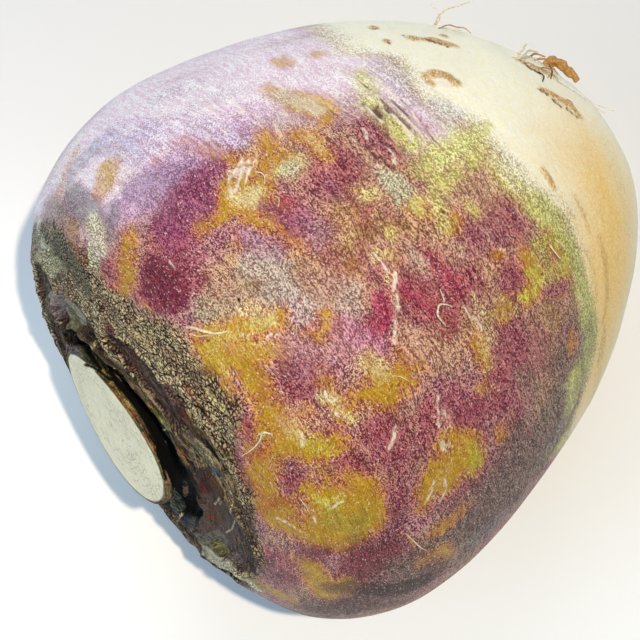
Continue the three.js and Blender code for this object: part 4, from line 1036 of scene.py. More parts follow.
# %% Grooves, ridges, painted glints and scars
GROOVE = [
    [(29.9, 25, 0.2), (29.6, 22, 0.2), (29.9, 21, 0.2)],
    [(26.3, 20, 0.2), (25.6, 18, 0.3), (25.3, 15, 0.3), (25.6, 14, 0.3)],
    [(29.6, 18, 0.2), (29.9, 16, 0.3), (29.9, 13, 0.3), (29.6, 11, 0.3), (29.6, 9, 0.2)],
    [(27.3, 17, 0.3), (28.3, 16, 0.3), (28.9, 14, 0.2)],
    [(31.6, 17, 0.2), (31.6, 14, 0.3), (31.3, 11, 0.3), (30.9, 9, 0.3)],
    [(33.3, 16, 0.2), (33.3, 13, 0.2), (32.9, 10, 0.3), (32.3, 7, 0.3), (32.3, 4, 0.2)],
    [(26.3, 17, 0.3), (26.6, 15, 0.5), (26.9, 14, 0.3)],
    [(23.9, 16, 0.2), (23.9, 13, 0.3), (24.3, 11, 0.3), (24.9, 8, 0.2), (25.6, 6, 0.2)],
    [(21.6, 16, 0.2), (21.6, 14, 0.2), (22, 12, 0.2), (22.6, 9, 0.2), (22.9, 7, 0.2)],
    [(27.6, 12, 0.2), (27.3, 10, 0.3), (27.3, 8, 0.3), (27.6, 6, 0.3)],
    [(18.7, 16, 0.2), (18.3, 13, 0.2), (18.3, 12, 0.2)],
    [(19, 11, 0.2), (19.3, 9, 0.2), (19.3, 7, 0.2)],
    [(20.3, 7, 0.2), (20.3, 5, 0.3), (20.6, 3, 0.3)],
    [(15.7, 14, 0.2), (15.7, 11, 0.2), (16.4, 8, 0.2), (17, 6, 0.2)], [(29.3, 4, 0.3)],
    [(23.9, 10, 0.2), (24.3, 7, 0.2), (24.3, 4, 0.2)], [(30.3, 29, 0.2), (30.3, 26, 0.2)],
    [(11.4, -2, 0.2), (11, -4, 0.2)], [(11, 5, 0.2), (11, 3, 0.2), (10.7, 0, 0.2)],
    [(12.4, 2, 0.2), (12.4, -1, 0.2), (12.1, -3, 0.2)], [(18, 0, 0.1), (18, -2, 0.1)],
    [(7, -1, 0.2), (7, -3, 0.2), (6.7, -6, 0.2)],
    [(4.4, -6, 0.2), (4.4, -8, 0.2), (4.1, -10, 0.2), (4.4, -13, 0.2)],
    [(6.4, -6, 0.2), (6.4, -8, 0.2)], [(-14.1, -1, 0.2), (-14.3, -3, 0.2)],
    [(-18.9, -1, 0.2), (-19.1, -2, 0.2)], [(-22.2, 4, 0.1), (-22.2, 3, 0.1)],
    [(-14.1, -3, 0.2), (-14.1, -5, 0.2)], [(25.6, -85, 0.6), (26.9, -85, 0.5)],
    [(11.4, -74, 0.5), (12.7, -74, 0.5)], [(2.5, -76, 0.5)], [(16.1, -12, 0.1), (16.7, -15, 0.1)],
    [(18, -7, 0.1), (18, -10, 0.1)], [(22, -9, 0.1), (22, -13, 0.1)],
    [(26.9, -6, 0.1), (26.9, -10, 0.1)], [(41.1, -19, 0.2), (41.4, -22, 0.2)],
    [(13.1, 19, 0.2), (13.1, 16, 0.2), (13.1, 13, 0.1)], [(19, 21, 0.2), (19, 18, 0.2)],
    [(22.9, 20, 0.2), (22.9, 18, 0.2)], [(69.1, 8, 0.3), (70.5, 5, 0.3)],
    [(71.2, 3, 0.4), (72.3, 0, 0.4)], [(74, -1, 0.4), (76, -5, 0.3)],
    [(74.3, 23, 0.4), (75, 19, 0.5), (76.7, 17, 0.6)],
    [(82.2, 14, 0.3), (86.3, 11, 0.3), (91.1, 6, 0.3)],
    [(54, 35, 0.4), (55.5, 33, 0.5), (56.3, 32, 0.4), (57.4, 30, 0.3)], [(44.9, 35, 0.5)],
    [(47, 44, 0.5)], [(51, 39, 0.5)], [(43, 173, 0.3), (46, 177, 0.4), (49, -177, 0.3)],
    [(55, 168, 0.3), (58, 171, 0.4)], [(65, 176, 0.3), (68, 178, 0.4), (71, -175, 0.3)],
    [(34, 170, 0.3), (38, 176, 0.3), (41, -177, 0.3)], [(40, -174, 0.3), (43, -170, 0.3)],
    [(75, 165, 0.3), (79, 173, 0.3)], [(26, 150, 0.3), (28, 157, 0.3)],
    [(20, 120, 0.3), (22, 128, 0.3)], [(10, 104, 0.3), (12, 111, 0.3)],
    [(24, -150, 0.3), (25, -142, 0.3)], [(-6, 138, 0.3), (-5, 146, 0.3)],
    [(50, 160, 0.3), (53, 166, 0.3)], [(60, -176, 0.3), (63, -170, 0.3)],
]
PALE_RIDGES_AND_GLINTS = [
    [(31.6, 23, 0.2), (32.3, 21, 0.3), (32.6, 18, 0.3), (32.9, 15, 0.3), (33.3, 12, 0.2)],
    [(32.6, 22, 0.2), (32.3, 19, 0.2)], [(27.3, 20, 0.2), (27.6, 19, 0.3), (28.6, 17, 0.2)],
    [(25.9, 18, 0.3), (25.6, 16, 0.3), (25.3, 15, 0.3), (25.6, 13, 0.3)],
    [(27.9, 15, 0.3), (28.6, 13, 0.3), (28.9, 11, 0.3), (28.6, 9, 0.3), (28.9, 7, 0.3)],
    [(30.9, 13, 0.2), (30.9, 11, 0.3), (30.6, 8, 0.3), (30.3, 6, 0.2)],
    [(32.9, 14, 0.2), (32.6, 11, 0.2), (32.3, 8, 0.2), (31.9, 5, 0.2)],
    [(20, 12, 0.2), (20.6, 11, 0.2), (21, 10, 0.2)], [(21.3, 14, 0.2), (21.6, 12, 0.2)],
    [(22, 9, 0.2), (22.6, 6, 0.2), (22.9, 4, 0.2)], [(17.7, 14, 0.2), (18, 12, 0.2)],
    [(21.3, 5, 0.2), (21.6, 4, 0.2)], [(18, 6, 0.2), (18.7, 4, 0.2)],
    [(27.9, 8, 0.2), (27.9, 6, 0.2)], [(22, 18, 0.2), (22.3, 16, 0.2)],
    [(40.4, 18, 0.3), (40.4, 16, 0.4), (40.8, 15, 0.4), (41.4, 14, 0.3)],
    [(44.2, 16, 0.6), (45.3, 15, 0.7), (45.6, 17, 0.6)], [(41.1, 16, 0.2), (41.8, 15, 0.2)],
    [(-1.2, 21, 0.2), (-3.8, 20, 0.2), (-6.5, 19, 0.2), (-8.8, 17, 0.2)],
    [(-0.6, 20, 0.2), (-3.6, 19, 0.2), (-6.3, 17, 0.2), (-8.6, 16, 0.2)],
    [(-0.1, 19, 0.1), (-2.8, 18, 0.2), (-5.5, 16, 0.1)],
    [(7.3, -12, 0.3), (6.7, -13, 0.4), (5.1, -14, 0.3)],
    [(5.4, -15, 0.2), (4.1, -17, 0.3), (3.2, -18, 0.2)],
    [(1.9, -19, 0.2), (1, -20, 0.3), (-0.4, -22, 0.2)], [(6.4, -9, 0.2), (6, -11, 0.3)],
    [(8.7, -8, 0.3)], [(6, -7, 0.2), (6, -9, 0.2)],
    [(2.2, -34, 0.2), (1, -36, 0.2), (0.2, -38, 0.2), (-0.9, -40, 0.2)],
    [(2.2, -37, 0.2), (1.3, -39, 0.2)], [(2.5, -39, 0.2), (2.2, -41, 0.3)],
    [(-8.1, -34, 0.3), (-9.5, -36, 0.3), (-11, -37, 0.3)],
    [(-16.5, -22, 0.3), (-16, -24, 0.3), (-15, -24, 0.2)],
    [(-16.7, -26, 0.3), (-16, -27, 0.3), (-15, -28, 0.2)],
    [(-24.2, -26, 0.2), (-23.7, -28, 0.3), (-23.3, -29, 0.2)],
    [(-25.9, -28, 0.2), (-24.7, -29, 0.2)],
    [(-25.8, -44, 0.2), (-24.2, -43, 0.2), (-22.6, -43, 0.2)],
    [(-26.8, -42, 0.2), (-25.9, -43, 0.2)], [(-29.4, -45, 0.2), (-29.7, -47, 0.2)],
    [(-37.3, -45, 0.2), (-35.6, -46, 0.3), (-34, -48, 0.2), (-32, -50, 0.2)],
    [(-9, -52, 0.2), (-7, -50, 0.2), (-5.5, -48, 0.2)],
    [(-3.3, -49, 0.2), (-4.1, -52, 0.2), (-6.3, -54, 0.2)], [(-1.7, -43, 0.3), (-1.5, -44, 0.3)],
    [(-20.1, -8, 0.2), (-18.7, -8, 0.3), (-17.3, -9, 0.2)], [(-22.8, -3, 0.2), (-22.6, -4, 0.2)],
    [(-22.9, -5, 0.3), (-22.2, -6, 0.3)],
    # The next stroke, and the first on the line after it, are painted glints on scraped flesh.
    [(-15.8, 65, 0.5), (-19.9, 65, 0.6), (-24.4, 66, 0.6), (-26.1, 68, 0.5)],
    [(-19.5, 62, 0.3), (-24.7, 61, 0.3)], [(-13.7, 41, 0.1), (-13.7, 37, 0.1), (-13.9, 32, 0.1)],
    [(-16.2, 45, 0.2), (-16.7, 40, 0.1)], [(-8.6, 35, 0.1), (-8.6, 31, 0.1), (-7.2, 28, 0.1)],
    [(-2, 31, 0.1), (-2, 27, 0.1)], [(-2, 39, 0.1), (-1.2, 35, 0.1)],
    [(-9.9, 53, 0.2), (-7, 51, 0.2)], [(-22, 49, 0.2), (-19.9, 48, 0.2)],
    [(-9, 46, 0.2), (-5.3, 44, 0.2)], [(4.7, 34, 0.1), (5.1, 30, 0.1)],
    [(-25.3, 15, 0.2), (-25.6, 13, 0.2)], [(-26.6, 20, 0.1), (-27, 17, 0.1)],
    [(-16, 6, 0.1), (-15.6, 4, 0.2)], [(17, -27, 0.1), (17, -30, 0.2)],
    [(16.1, -24, 0.1), (15.7, -27, 0.2)], [(52.8, -22, 0.2), (53.6, -26, 0.2)],
    [(65.9, -15, 0.2), (67, -18, 0.2)], [(-10.6, 9, 0.1), (-8.8, 9, 0.1)],
    [(-4.3, 31, 0.2), (-3, 28, 0.2)], [(29.3, -20, 0.2), (30.6, -21, 0.2)],
    [(1.9, 41, 0.1), (1.9, 37, 0.1), (1.6, 32, 0.1)],
    [(3.5, 37, 0.1), (3.5, 33, 0.1), (3.5, 28, 0.1)],
    [(-0.1, 35, 0.1), (-0.1, 31, 0.1), (-0.4, 27, 0.1)],
    [(6, 36, 0.1), (6.4, 32, 0.1), (5.7, 28, 0.1)], [(-0.9, 39, 0.1), (-0.9, 35, 0.1)],
    [(9, 36, 0.1), (9, 32, 0.1), (8.7, 28, 0.1)], [(44, 171, 0.3), (47, 175, 0.4), (50, -179, 0.3)],
    [(33, 172, 0.3), (37, 178, 0.3)], [(-22, 118, 0.3), (-20, 126, 0.3)],
    [(0, 96, 0.3), (2, 103, 0.3)], [(16, -156, 0.3), (18, -148, 0.4)],
    [(-8, -172, 0.3), (-6, -166, 0.3)], [(26, 112, 0.3), (28, 120, 0.3)],
    [(64, 172, 0.3), (67, 176, 0.3)], [(-30, 126, 0.3), (-29, 133, 0.3)],
    [(14, 160, 0.3), (15, 166, 0.3)], [(40, -150, 0.3), (42, -144, 0.3)],
]
TAN = [
    [(43.2, 20, 0.9), (46, 20, 1.2), (47.7, 18, 1.3), (48.1, 15, 1)],
    [(42.5, 18, 0.7), (42.8, 17, 0.7)], [(47.4, 16, 0.6), (47.4, 15, 0.8)], [(51.7, 36, 1.4)],
    [(53.6, 35, 0.9), (55.9, 34, 1.1), (57.4, 32, 1), (59, 30, 0.9)], [(60.1, 36, 0.9)],
    [(47, 45, 1.2)], [(44.9, 36, 0.9)],
    [(73, 23, 0.9), (75.4, 22, 1.2), (77.7, 20, 1.4), (80, 18, 1.6), (82.2, 17, 1.2)],
    [(70.2, 7, 0.7), (72.3, 5, 1.1), (74.3, 2, 1.3), (76.7, -1, 1.1), (77, -5, 0.7)],
    [(88.8, 32, 1.4), (89.8, 30, 1.4)], [(51.3, -13, 0.6), (51.7, -15, 0.7), (51.3, -18, 0.6)],
    [(44, 176, 1), (46, 180, 1.2), (48, -176, 1)], [(56, 170, 1), (58, 174, 1.3)],
    [(66, 178, 1.2), (68, -178, 1.4), (70, -172, 1)], [(52, -172, 0.9)],
    [(76, 168, 1), (78, 176, 1.2)], [(36, -176, 0.8), (38, -172, 0.9)], [(30, 170, 0.8)],
    [(60, -168, 0.7), (62, -164, 0.8)],
]
fields["groove"] = reach(smooth_skin, GROOVE, 2.0)
fields["ridge_and_glint"] = reach(smooth_skin, PALE_RIDGES_AND_GLINTS, 2.0)
fields["tan"] = reach(smooth_skin, TAN, 3.0)
creases = 0.3 * smooth(fields["ridge_and_glint"], -0.5, 0.2) - 0.35 * smooth(fields["groove"], -0.5, 0.2)
relief += creases + 0.3 * smooth(fields["tan"], -0.6, 0.4)
print("creases, mm:", np.round([creases.min(), creases.max()], 2))

# %% [markdown]
# ## One closed mesh
# The grid becomes a mesh: quads between neighbouring rows, with the last longitude joined to
# the first, and a fan of triangles round a single point at each end. Nothing overlaps and
# nothing is left open, so the surface has one inside and one outside.

# %% Shape and close the body
shaped = smooth_skin + relief[..., None] * normals
ends = skin(np.array([0.0, len(RINGS) - 1.0]), np.zeros(1))[:, 0]


def in_room(points):
    """Turn points from the root's own frame into the room's and cut them off at the floor:
    each coordinate times its axis, plus the centre."""
    room = (points[..., :1] * ALONG + points[..., 1:2] * ACROSS + points[..., 2:] * ABOVE
            + CENTRE)
    room[..., 2] = np.maximum(room[..., 2], 0)
    return room * MM


def new_piece(name, vertices, faces, material):
    """A mesh object at the origin that moves with the root and keeps its place in its mesh."""
    mesh = bpy.data.meshes.new(name)
    mesh.from_pydata(vertices.tolist(), [], faces)
    mesh.validate()
    mesh.polygons.foreach_set("use_smooth", np.ones(len(mesh.polygons), bool))
    mesh.materials.append(material)
    piece = bpy.data.objects.new(name, mesh)
    bpy.context.scene.collection.objects.link(piece)
    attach(piece, "root")
    return piece


def give(piece, name, values, kind="FLOAT"):
    """Store one number or one vector per vertex under a name that a material can read."""
    layer = piece.data.attributes.new(name, kind, "POINT")
    key = {"FLOAT": "value", "FLOAT_VECTOR": "vector", "FLOAT_COLOR": "color"}[kind]
    layer.data.foreach_set(key, np.ascontiguousarray(values, np.float32).ravel())


def closed_grid(rows, columns):
    """Faces of a grid that closes in its second way, with a fan round one extra vertex at
    each end: vertex rows*columns is the first end, the next one is the last end."""
    row, column = np.meshgrid(np.arange(rows - 1), np.arange(columns), indexing="ij")
    after = (column + 1) % columns
    quads = np.stack([row * columns + column, row * columns + after,
                      (row + 1) * columns + after, (row + 1) * columns + column], -1)
    edge = np.arange(columns)
    nearby = (edge + 1) % columns
    first = np.stack([np.full(columns, rows * columns), nearby, edge], -1)
    final = np.stack([np.full(columns, rows * columns + 1), (rows - 1) * columns + edge,
                      (rows - 1) * columns + nearby], -1)
    return quads.reshape(-1, 4).tolist() + first.tolist() + final.tolist()


def with_ends(values, first=None, last=None):
    """A grid of values as a flat list, with the values of the two end vertices added."""
    flat = values.reshape(values.shape[0] * values.shape[1], -1)
    first = flat[:1] if first is None else np.reshape(first, (1, -1))
    last = flat[-1:] if last is None else np.reshape(last, (1, -1))
    return np.concatenate([flat, first, last])

# %% [markdown]
# ## Writing shader maths as sums
# A material is a graph of small nodes. Wiring them one at a time hides the idea, so one small
# class wraps a socket: adding, subtracting, multiplying or dividing two of them makes the
# Math node. Everything that isn't arithmetic goes through one method that makes any node.

# %% A socket that does sums
class Shade:
    """A socket of the material being written; + - * / between sockets or numbers add Math
    nodes, in either order. `tree` is the node tree that new nodes go into."""
    tree = None

    def __init__(self, socket):
        self.socket = socket

    @classmethod
    def node(cls, kind, settings=None, inputs=None, out=0):
        """Make a node: its type, its settings first, then the values or links of its sockets,
        and wrap the output that is asked for."""
        made = cls.tree.nodes.new(kind)
        for key, value in (settings or {}).items():
            setattr(made, key, value)
        for key, value in (inputs or {}).items():
            if isinstance(value, Shade):
                cls.tree.links.new(value.socket, made.inputs[key])
            else:
                made.inputs[key].default_value = value
        return cls(made.outputs[out])

    def sum(self, operation, first, second):
        """One Math node with this operation on two values."""
        return self.node("ShaderNodeMath", {"operation": operation}, {0: first, 1: second})

    def __add__(self, other):
        return self.sum("ADD", self, other)

    def __sub__(self, other):
        return self.sum("SUBTRACT", self, other)

    def __mul__(self, other):
        return self.sum("MULTIPLY", self, other)

    def __truediv__(self, other):
        return self.sum("DIVIDE", self, other)

    def __rsub__(self, other):
        return self.sum("SUBTRACT", other, self)

    __radd__, __rmul__ = __add__, __mul__


def kept(name, out=2):
    """A value stored on the mesh under a name: output 2 is a number, output 1 a vector."""
    return Shade.node("ShaderNodeAttribute", {"attribute_name": name}, out=out)


def ease(value, start, end):
    """0 before start, 1 after end, with a smooth S between: a Map Range node."""
    return Shade.node("ShaderNodeMapRange", {"interpolation_type": "SMOOTHSTEP"},
                      {"Value": value, "From Min": start, "From Max": end})


def blend(share, first, second):
    """The first colour where share is 0 and the second where it is 1: a Mix node."""
    return Shade.node("ShaderNodeMix", {"data_type": "RGBA"}, {0: share, 6: first, 7: second},
                      out=2)


def size_of(value):
    """A value without its sign: a Math node."""
    return Shade.node("ShaderNodeMath", {"operation": "ABSOLUTE"}, {0: value})


def scaled(vector, x, y, z):
    """A vector with each of its parts multiplied: a Vector Math node."""
    return Shade.node("ShaderNodeVectorMath", {"operation": "MULTIPLY"},
                      {0: vector, 1: (x, y, z)})


def capped(colour):
    """A colour none of whose parts is above 1, as no real surface gives back more light than
    it gets: a Vector Math node."""
    return Shade.node("ShaderNodeVectorMath", {"operation": "MINIMUM"},
                      {0: colour, 1: (0.96, 0.96, 0.96)})


def cloud(vector, size, detail=2.0, roughness=0.5):
    """Smooth noise around 0.5, with spots about `size` across in the vector's own unit."""
    return Shade.node("ShaderNodeTexNoise", {},
                      {"Vector": vector, "Scale": 1 / size, "Detail": detail,
                       "Roughness": roughness})


def veins(pattern, width):
    """Thin lines where noise crosses its middle: 1 on a line and 0 from `width` away."""
    return 1 - ease(size_of(pattern - 0.5), 0.0, width)


def cell_edges(vector, size):
    """How near the border between two cells is, for cells about `size` across: a Voronoi
    Texture node that gives the distance to the edge."""
    return Shade.node("ShaderNodeTexVoronoi", {"feature": "DISTANCE_TO_EDGE"},
                      {"Vector": vector, "Scale": 1 / size})


def bumped(height):
    """The normal tilted by a height in mm: a Bump node."""
    return Shade.node("ShaderNodeBump", {}, {"Height": height, "Distance": MM,
                                             "Strength": 1.0})


def own_colour(name):
    """A colour stored as colour times cover, divided by its cover again, and the cover."""
    cover = kept(name, 3)
    return Shade.node("ShaderNodeVectorMath", {"operation": "DIVIDE"},
                      {0: kept(name, 0), 1: cover}), cover


def new_material(name):
    """A material with only a Principled shader in it, ready to be written."""
    material = bpy.data.materials.new(name)
    material.use_nodes = True
    Shade.tree = material.node_tree
    return material, material.node_tree.nodes["Principled BSDF"]


def wire(shader, **sockets):
    """Link or set the Principled shader's sockets, underscores standing for spaces."""
    for key, value in sockets.items():
        socket = shader.inputs[key.replace("_", " ")]
        if isinstance(value, Shade):
            Shade.tree.links.new(value.socket, socket)
        else:
            socket.default_value = value


# %% [markdown]
# ## The grain of the skin
# Rutabaga skin is several things at once: a crimson to purple rind, a dust of pale russet
# flecks a few tenths of a millimetre wide, a waxy bloom with a painted sheen on it, bare flesh
# where the rind is scraped off, and a cream rind below the soil line. They share one grain, so
# it comes first. Flecks are Voronoi cells stretched round the root, as the rind grew. Noise of
# several sizes bends them, gathers them in clumps and frays the edge of every patch.

# %% Patterns that every layer uses
FLECK = 0.21                       # how wide a fleck is along the root, mm
skin_look, skin_shader = new_material("root skin")
grain = kept("grain", 1)
wander = Shade.node("ShaderNodeVectorMath", {"operation": "MULTIPLY_ADD"},
                    {0: Shade.node("ShaderNodeTexNoise", {}, {"Vector": grain,
                     "Scale": 0.09, "Detail": 0.0}, out=1),
                     1: (3.0, 3.0, 3.0), 2: grain})
cells = Shade.node("ShaderNodeSeparateColor", {}, {"Color": Shade.node(
    "ShaderNodeTexVoronoi", {}, {"Vector": scaled(wander, 1.2, 0.66, 0.66),
                                 "Scale": 1 / FLECK}, out=1)})
fleck, tint, spark = (Shade(cells.socket.node.outputs[k]) for k in range(3))
ragged = cloud(grain, 1.6, 4.0, 0.7) - 0.5
drift = cloud(wander, 9.0, 4.0, 0.6) - 0.5
clump = cloud(scaled(wander, 1.0, 0.6, 0.6), 0.7, 3.0, 0.7) - 0.5
thread = cloud(scaled(wander, 1.0, 0.09, 0.09), 0.7, 2.0, 0.6)
scratch = cloud(scaled(wander, -0.8, 0.13, 0.13), 0.6, 1.0, 0.5)
threads = veins(thread, 0.016)
scratches = veins(scratch, 0.018) * ease(drift, -0.05, 0.05)

# %% [markdown]
# ## Colours of the rind
# Every layer is a pair of colours, the dark and the light of its grain, and the layers are
# laid in the order in which they lie on the root. A layer's share of a place comes from one
# of the kept fields, with noise added so that its edge wanders. The grain picks between the
# dark and the light only at the very end, so all the layers agree on where the flecks are.

# %% Rind, russet, crimson, bloom and green
def tinted(share, pair, dark, light):
    """Blend a pair of colours, the dark and the light of the grain, towards another pair."""
    return blend(share, pair[0], paint(*dark)), blend(share, pair[1], paint(*light))


pair = (paint(104, 36, 58), paint(212, 152, 152))
pair = tinted(ease(drift + (tint - 0.5) * 0.2, -0.12, 0.12), pair,
              (104, 58, 50), (220, 178, 136))
russet = ease(kept("russet") + drift * 14, -4.0, 3.0)
pair = tinted(russet * 0.8, pair, (126, 73, 53), (232, 192, 146))
deep = ease(kept("crimson") + drift * 12 + ragged * 3, -3.6, 2.4)
pair = tinted(deep * 0.92, pair, (94, 16, 42), (200, 108, 114))
# Dull skin, with painted shade darkening the lower flank.
dull_and_shade = ease(kept("dull_and_shade") + drift * 14, -6.0, 4.0)
pair = tinted(dull_and_shade * 0.9, pair, (56, 34, 32), (156, 128, 114))
# Waxy bloom with painted sheen: pale lavender to white on the upper shoulder.
bloom_and_sheen = ease(kept("bloom_and_sheen") + drift * 14 + ragged * 6, -9.0, 7.0)
pair = tinted(bloom_and_sheen * 0.94, pair, (236, 202, 220), (255, 254, 253))
green = ease(kept("greened") + ragged * 6 + drift * 8, -3.5, 2.5)
pair = tinted(green * 0.8, pair, (186, 184, 80), (252, 252, 156))

# %% [markdown]
# ## Bare flesh and the cream end
# A scrape has three parts, cut from one field at three depths: a reddish stain in the rind
# round it, ochre flesh at its edge, and riper yellow flesh in its middle. The cream end is
# laid over them with a greenish seam, and its gold fades in over a long way.

# %% Scrapes, cream and gold
scrape = kept("scraped") + drift * 5
stain = ease(scrape, -2.2, 0.5)
pair = tinted(stain * 0.4, pair, (154, 69, 48), (241, 165, 115))
bare = ease(scrape + ragged * 7 + (fleck - 0.5) * 1.6, -0.9, 1.2)
ripe = ease(scrape + ragged * 8, -0.6, 2.6)
pair = tinted(bare, pair, (156, 84, 26), (236, 178, 90))
# Painted sheen: bare flesh turns paler on the upper shoulder.
pair = tinted(bare * bloom_and_sheen * 0.75, pair, (216, 176, 122), (250, 226, 186))
pair = tinted(bare * ripe * (1 - bloom_and_sheen), pair, (150, 104, 8), (222, 180, 48))

edge = kept("pale") + drift * 8
pale = ease(edge + (fleck - 0.5) * 5, -3.5, 2.5)
pair = tinted(ease(edge, -7.0, 0.0) * 0.65, pair, (176, 156, 92), (244, 230, 160))
pair = tinted(pale, pair, (255, 244, 200), (255, 255, 244))
gold = ease(kept("gold") + drift * 10 + ragged * 3, -26.0, 8.0) * pale
pair = tinted(gold, pair, (246, 192, 100), (255, 226, 142))

# %% [markdown]
# ## Layers of the crown
# Cork cracks into plates under a millimetre wide, with some larger cracks between groups of
# them. Voronoi cells give both: the distance to a cell's edge is a crack where it is near 0.
# Inside the corky ring the leaf scars are smooth and fibrous, and past the lip the colours
# follow the outline alone: near-black painted shade in the gap, straw-coloured on the neck,
# white on the cut.

# %% Cork, leaf scars, gap and neck
PLATE = 0.75                       # how wide a plate of cork is, mm
LARGE_PLATE = 1.7                  # how far apart the larger cracks are, mm
where = Shade.node("ShaderNodeSeparateXYZ", {}, {"Vector": grain})
netting = cell_edges(scaled(wander, 1.0, 0.8, 0.8), LARGE_PLATE)
crack = (1 - ease(netting + ragged * 0.06, 0.02, 0.07)) * ease(drift, -0.03, 0.03)
plates = cell_edges(scaled(wander, 1.0, 0.8, 0.8), PLATE)
speck = cloud(scaled(wander, 1.0, 0.75, 0.75), 0.4, 2.0, 0.75) - 0.5
crown = 1 - ease(kept("past_crown") + ragged * 8 + drift * 8, -2.0, 1.5)
dusk = 1 - ease(drift + ragged * 0.3, -0.12, 0.06)
pair = tinted(crown, pair, (32, 22, 16), (226, 200, 148))
pair = tinted(crown * ease(speck + tint * 0.3, 0.12, 0.3), pair,
              (60, 44, 32), (250, 232, 186))
pair = tinted(crown * dusk * 0.6, pair, (30, 12, 12), (146, 94, 76))
pair = tinted(crack * crown, pair, (16, 10, 8), (78, 60, 46))
smooth_zone = 1 - ease(kept("past_scars") + ragged * 3 + drift * 4, -1.0, 1.0)
pair = tinted(smooth_zone, pair, (52, 38, 26), (184, 158, 116))
leafy = (1 - ease(kept("leaf_scar"), 0.9, 1.02)) * crown
pair = tinted(leafy, pair, (46, 30, 25), (136, 108, 90))
lips = 1 - ease(where + ragged * 3, LIP + 1.0, LIP + 5.0)
pair = tinted(lips, pair, (40, 27, 17), (128, 98, 62))
# Painted shade: the gap round the neck is near black.
dark = 1 - ease(where + ragged * 1.2, CREVICE[1] - 0.6, CREVICE[1] + 0.8)
pair = tinted(dark, pair, (5, 4, 3), (12, 10, 8))
neck = 1 - ease(where + ragged * 0.6, CREVICE[0] - 0.6, CREVICE[0] + 0.4)
pair = tinted(neck, pair, (87, 67, 37), (182, 156, 99))
flesh = 1 - ease(where + ragged * 0.4, FACE_RIM - 0.5, FACE_RIM + 0.1)

# %% [markdown]
# ## Daubs and patches
# A daub's colour becomes a pair too: a darker and a lighter version of itself. Noise is added
# to its cover before the cover is cut, so a half-covering daub takes about half the flecks in
# place of a smooth half mixture. The crown's patches work the same way, with less noise.

# %% Lay the local colours
own, cover = own_colour("daub")
mottle = ((tint - 0.5) * 0.8 + clump * 0.9) * (1 - pale * 0.7) + ragged * 0.5
laid = ease(cover * 1.25 + mottle, 0.3, 0.8) * ease(cover, 0.02, 0.12)
pair = (blend(laid * 0.6, pair[0], scaled(own, 0.6, 0.48, 0.48)),
        blend(laid * 0.8, pair[1], capped(scaled(own, 1.8, 2.1, 2.0))))
own, cover = own_colour("patch")
laid = ease(cover + ragged * 1.3 + speck * 0.5, 0.3, 0.7) * 0.85
pair = (blend(laid, pair[0], scaled(own, 0.42, 0.36, 0.32)),
        blend(laid, pair[1], capped(scaled(own, 1.8, 1.6, 1.45))))

# %% [markdown]
# ## The finest marks
# Fibres of the leaf scars, tan slits, grooves, ridges and painted glints, the cut face,
# ink-dark cracks with the painted shadow of the gap, and straw-coloured rims come last, as they
# are sharp and nothing lies over them. Noise frays each one by only a few tenths of a millimetre.

# %% Marks that lie on top
strand = cloud(scaled(grain, 1.7, 0.24, 0.24), 0.8, 3.0, 0.7) - 0.5
calm = ease(kept("calm") + ragged * 1.5, -0.6, 0.4)
leafage = ease(smooth_zone + leafy, 0.0, 1.0) * (1 - calm * 0.6) * (1 - flesh)
seam = veins(cloud(scaled(grain, 1.3, 0.2, 0.2), 1.5, 2.0, 0.6), 0.03) * leafage
pair = tinted(seam * 0.85, pair, (10, 7, 6), (48, 34, 27))
tan = ease(kept("tan") + ragged * 1.8, -0.7, 0.5)
pair = tinted(tan, pair, (176, 122, 58), (252, 224, 162))
groove = ease(kept("groove") + ragged * 0.6, -0.3, 0.2)
pair = tinted(groove * 0.85, pair, (71, 34, 39), (122, 73, 71))
# Pale ridges, and painted glints on the scraped flesh of the shoulder.
ridge_and_glint = ease(kept("ridge_and_glint") + ragged * 0.6, -0.3, 0.2)
pair = tinted(ridge_and_glint * 0.8, pair, (250, 228, 206), (252, 244, 232))
pair = tinted(flesh, pair, (254, 240, 200), (255, 250, 224))
# Dark cracks, and painted shadow where the widest stroke lies in the gap's opening.
ink = ease(kept("ink") + ragged * 0.5, -0.12, 0.12)
pair = tinted(ink, pair, (5, 4, 3), (10, 8, 7))
straw = ease(kept("straw") + ragged * 0.4, -0.1, 0.1)
pair = tinted(straw, pair, (175, 145, 99), (250, 238, 201))

# %% [markdown]
# ## From the grain to one colour
# One number says how light each fleck is, and it picks between the pair. Streaks, threads and
# scratches belong to the rind, plates and specks to the cork, and strands to the leaf scars.
# The same patterns raise or lower the surface a little. A few flecks are pale grains with
# painted glints on them, and a small turn of the hue keeps neighbours from being shades of one
# colour.

# %% Pick the colour, raise the surface and wire the shader
streak = (scratch - 0.5) * (1.8 + drift * 8 + bloom_and_sheen * 0.8) + (thread - 0.5) * 1.6
spread = (fleck - 0.5) * 2.4 + clump * 0.6 + streak * (1 - pale * 0.8) * (1 - flesh)
spread = spread - threads * 0.9 + scratches * (0.8 + bloom_and_sheen * 1.2)
spread = spread * (1 - (bare * 0.75 + pale * 0.35)) * (1 - smooth_zone * 0.5)
broad = ease(drift, -0.02, 0.06)
cork = (plates - 0.12) * 8.0 * (1 - broad * 0.75) + broad * 0.3 + speck * 2.0 + ragged * 1.6
corky = crown * (1 - smooth_zone)
spread = spread + corky * cork + leafage * (strand * 5.0 - 0.1)
colour = blend(ease(spread, -0.65, 0.85), *pair)
# Painted glints: a few flecks outside the crown are turned pale.
glint = ease(spark, 0.86, 0.94) * (1 - crown) * 0.65
colour = blend(glint * ease(clump, -0.05, 0.1), colour, paint(250, 226, 214))
colour = Shade.node("ShaderNodeHueSaturation", {}, {
    "Hue": 0.5 + (tint - 0.5) * 0.05 * (1 - pale), "Color": colour})

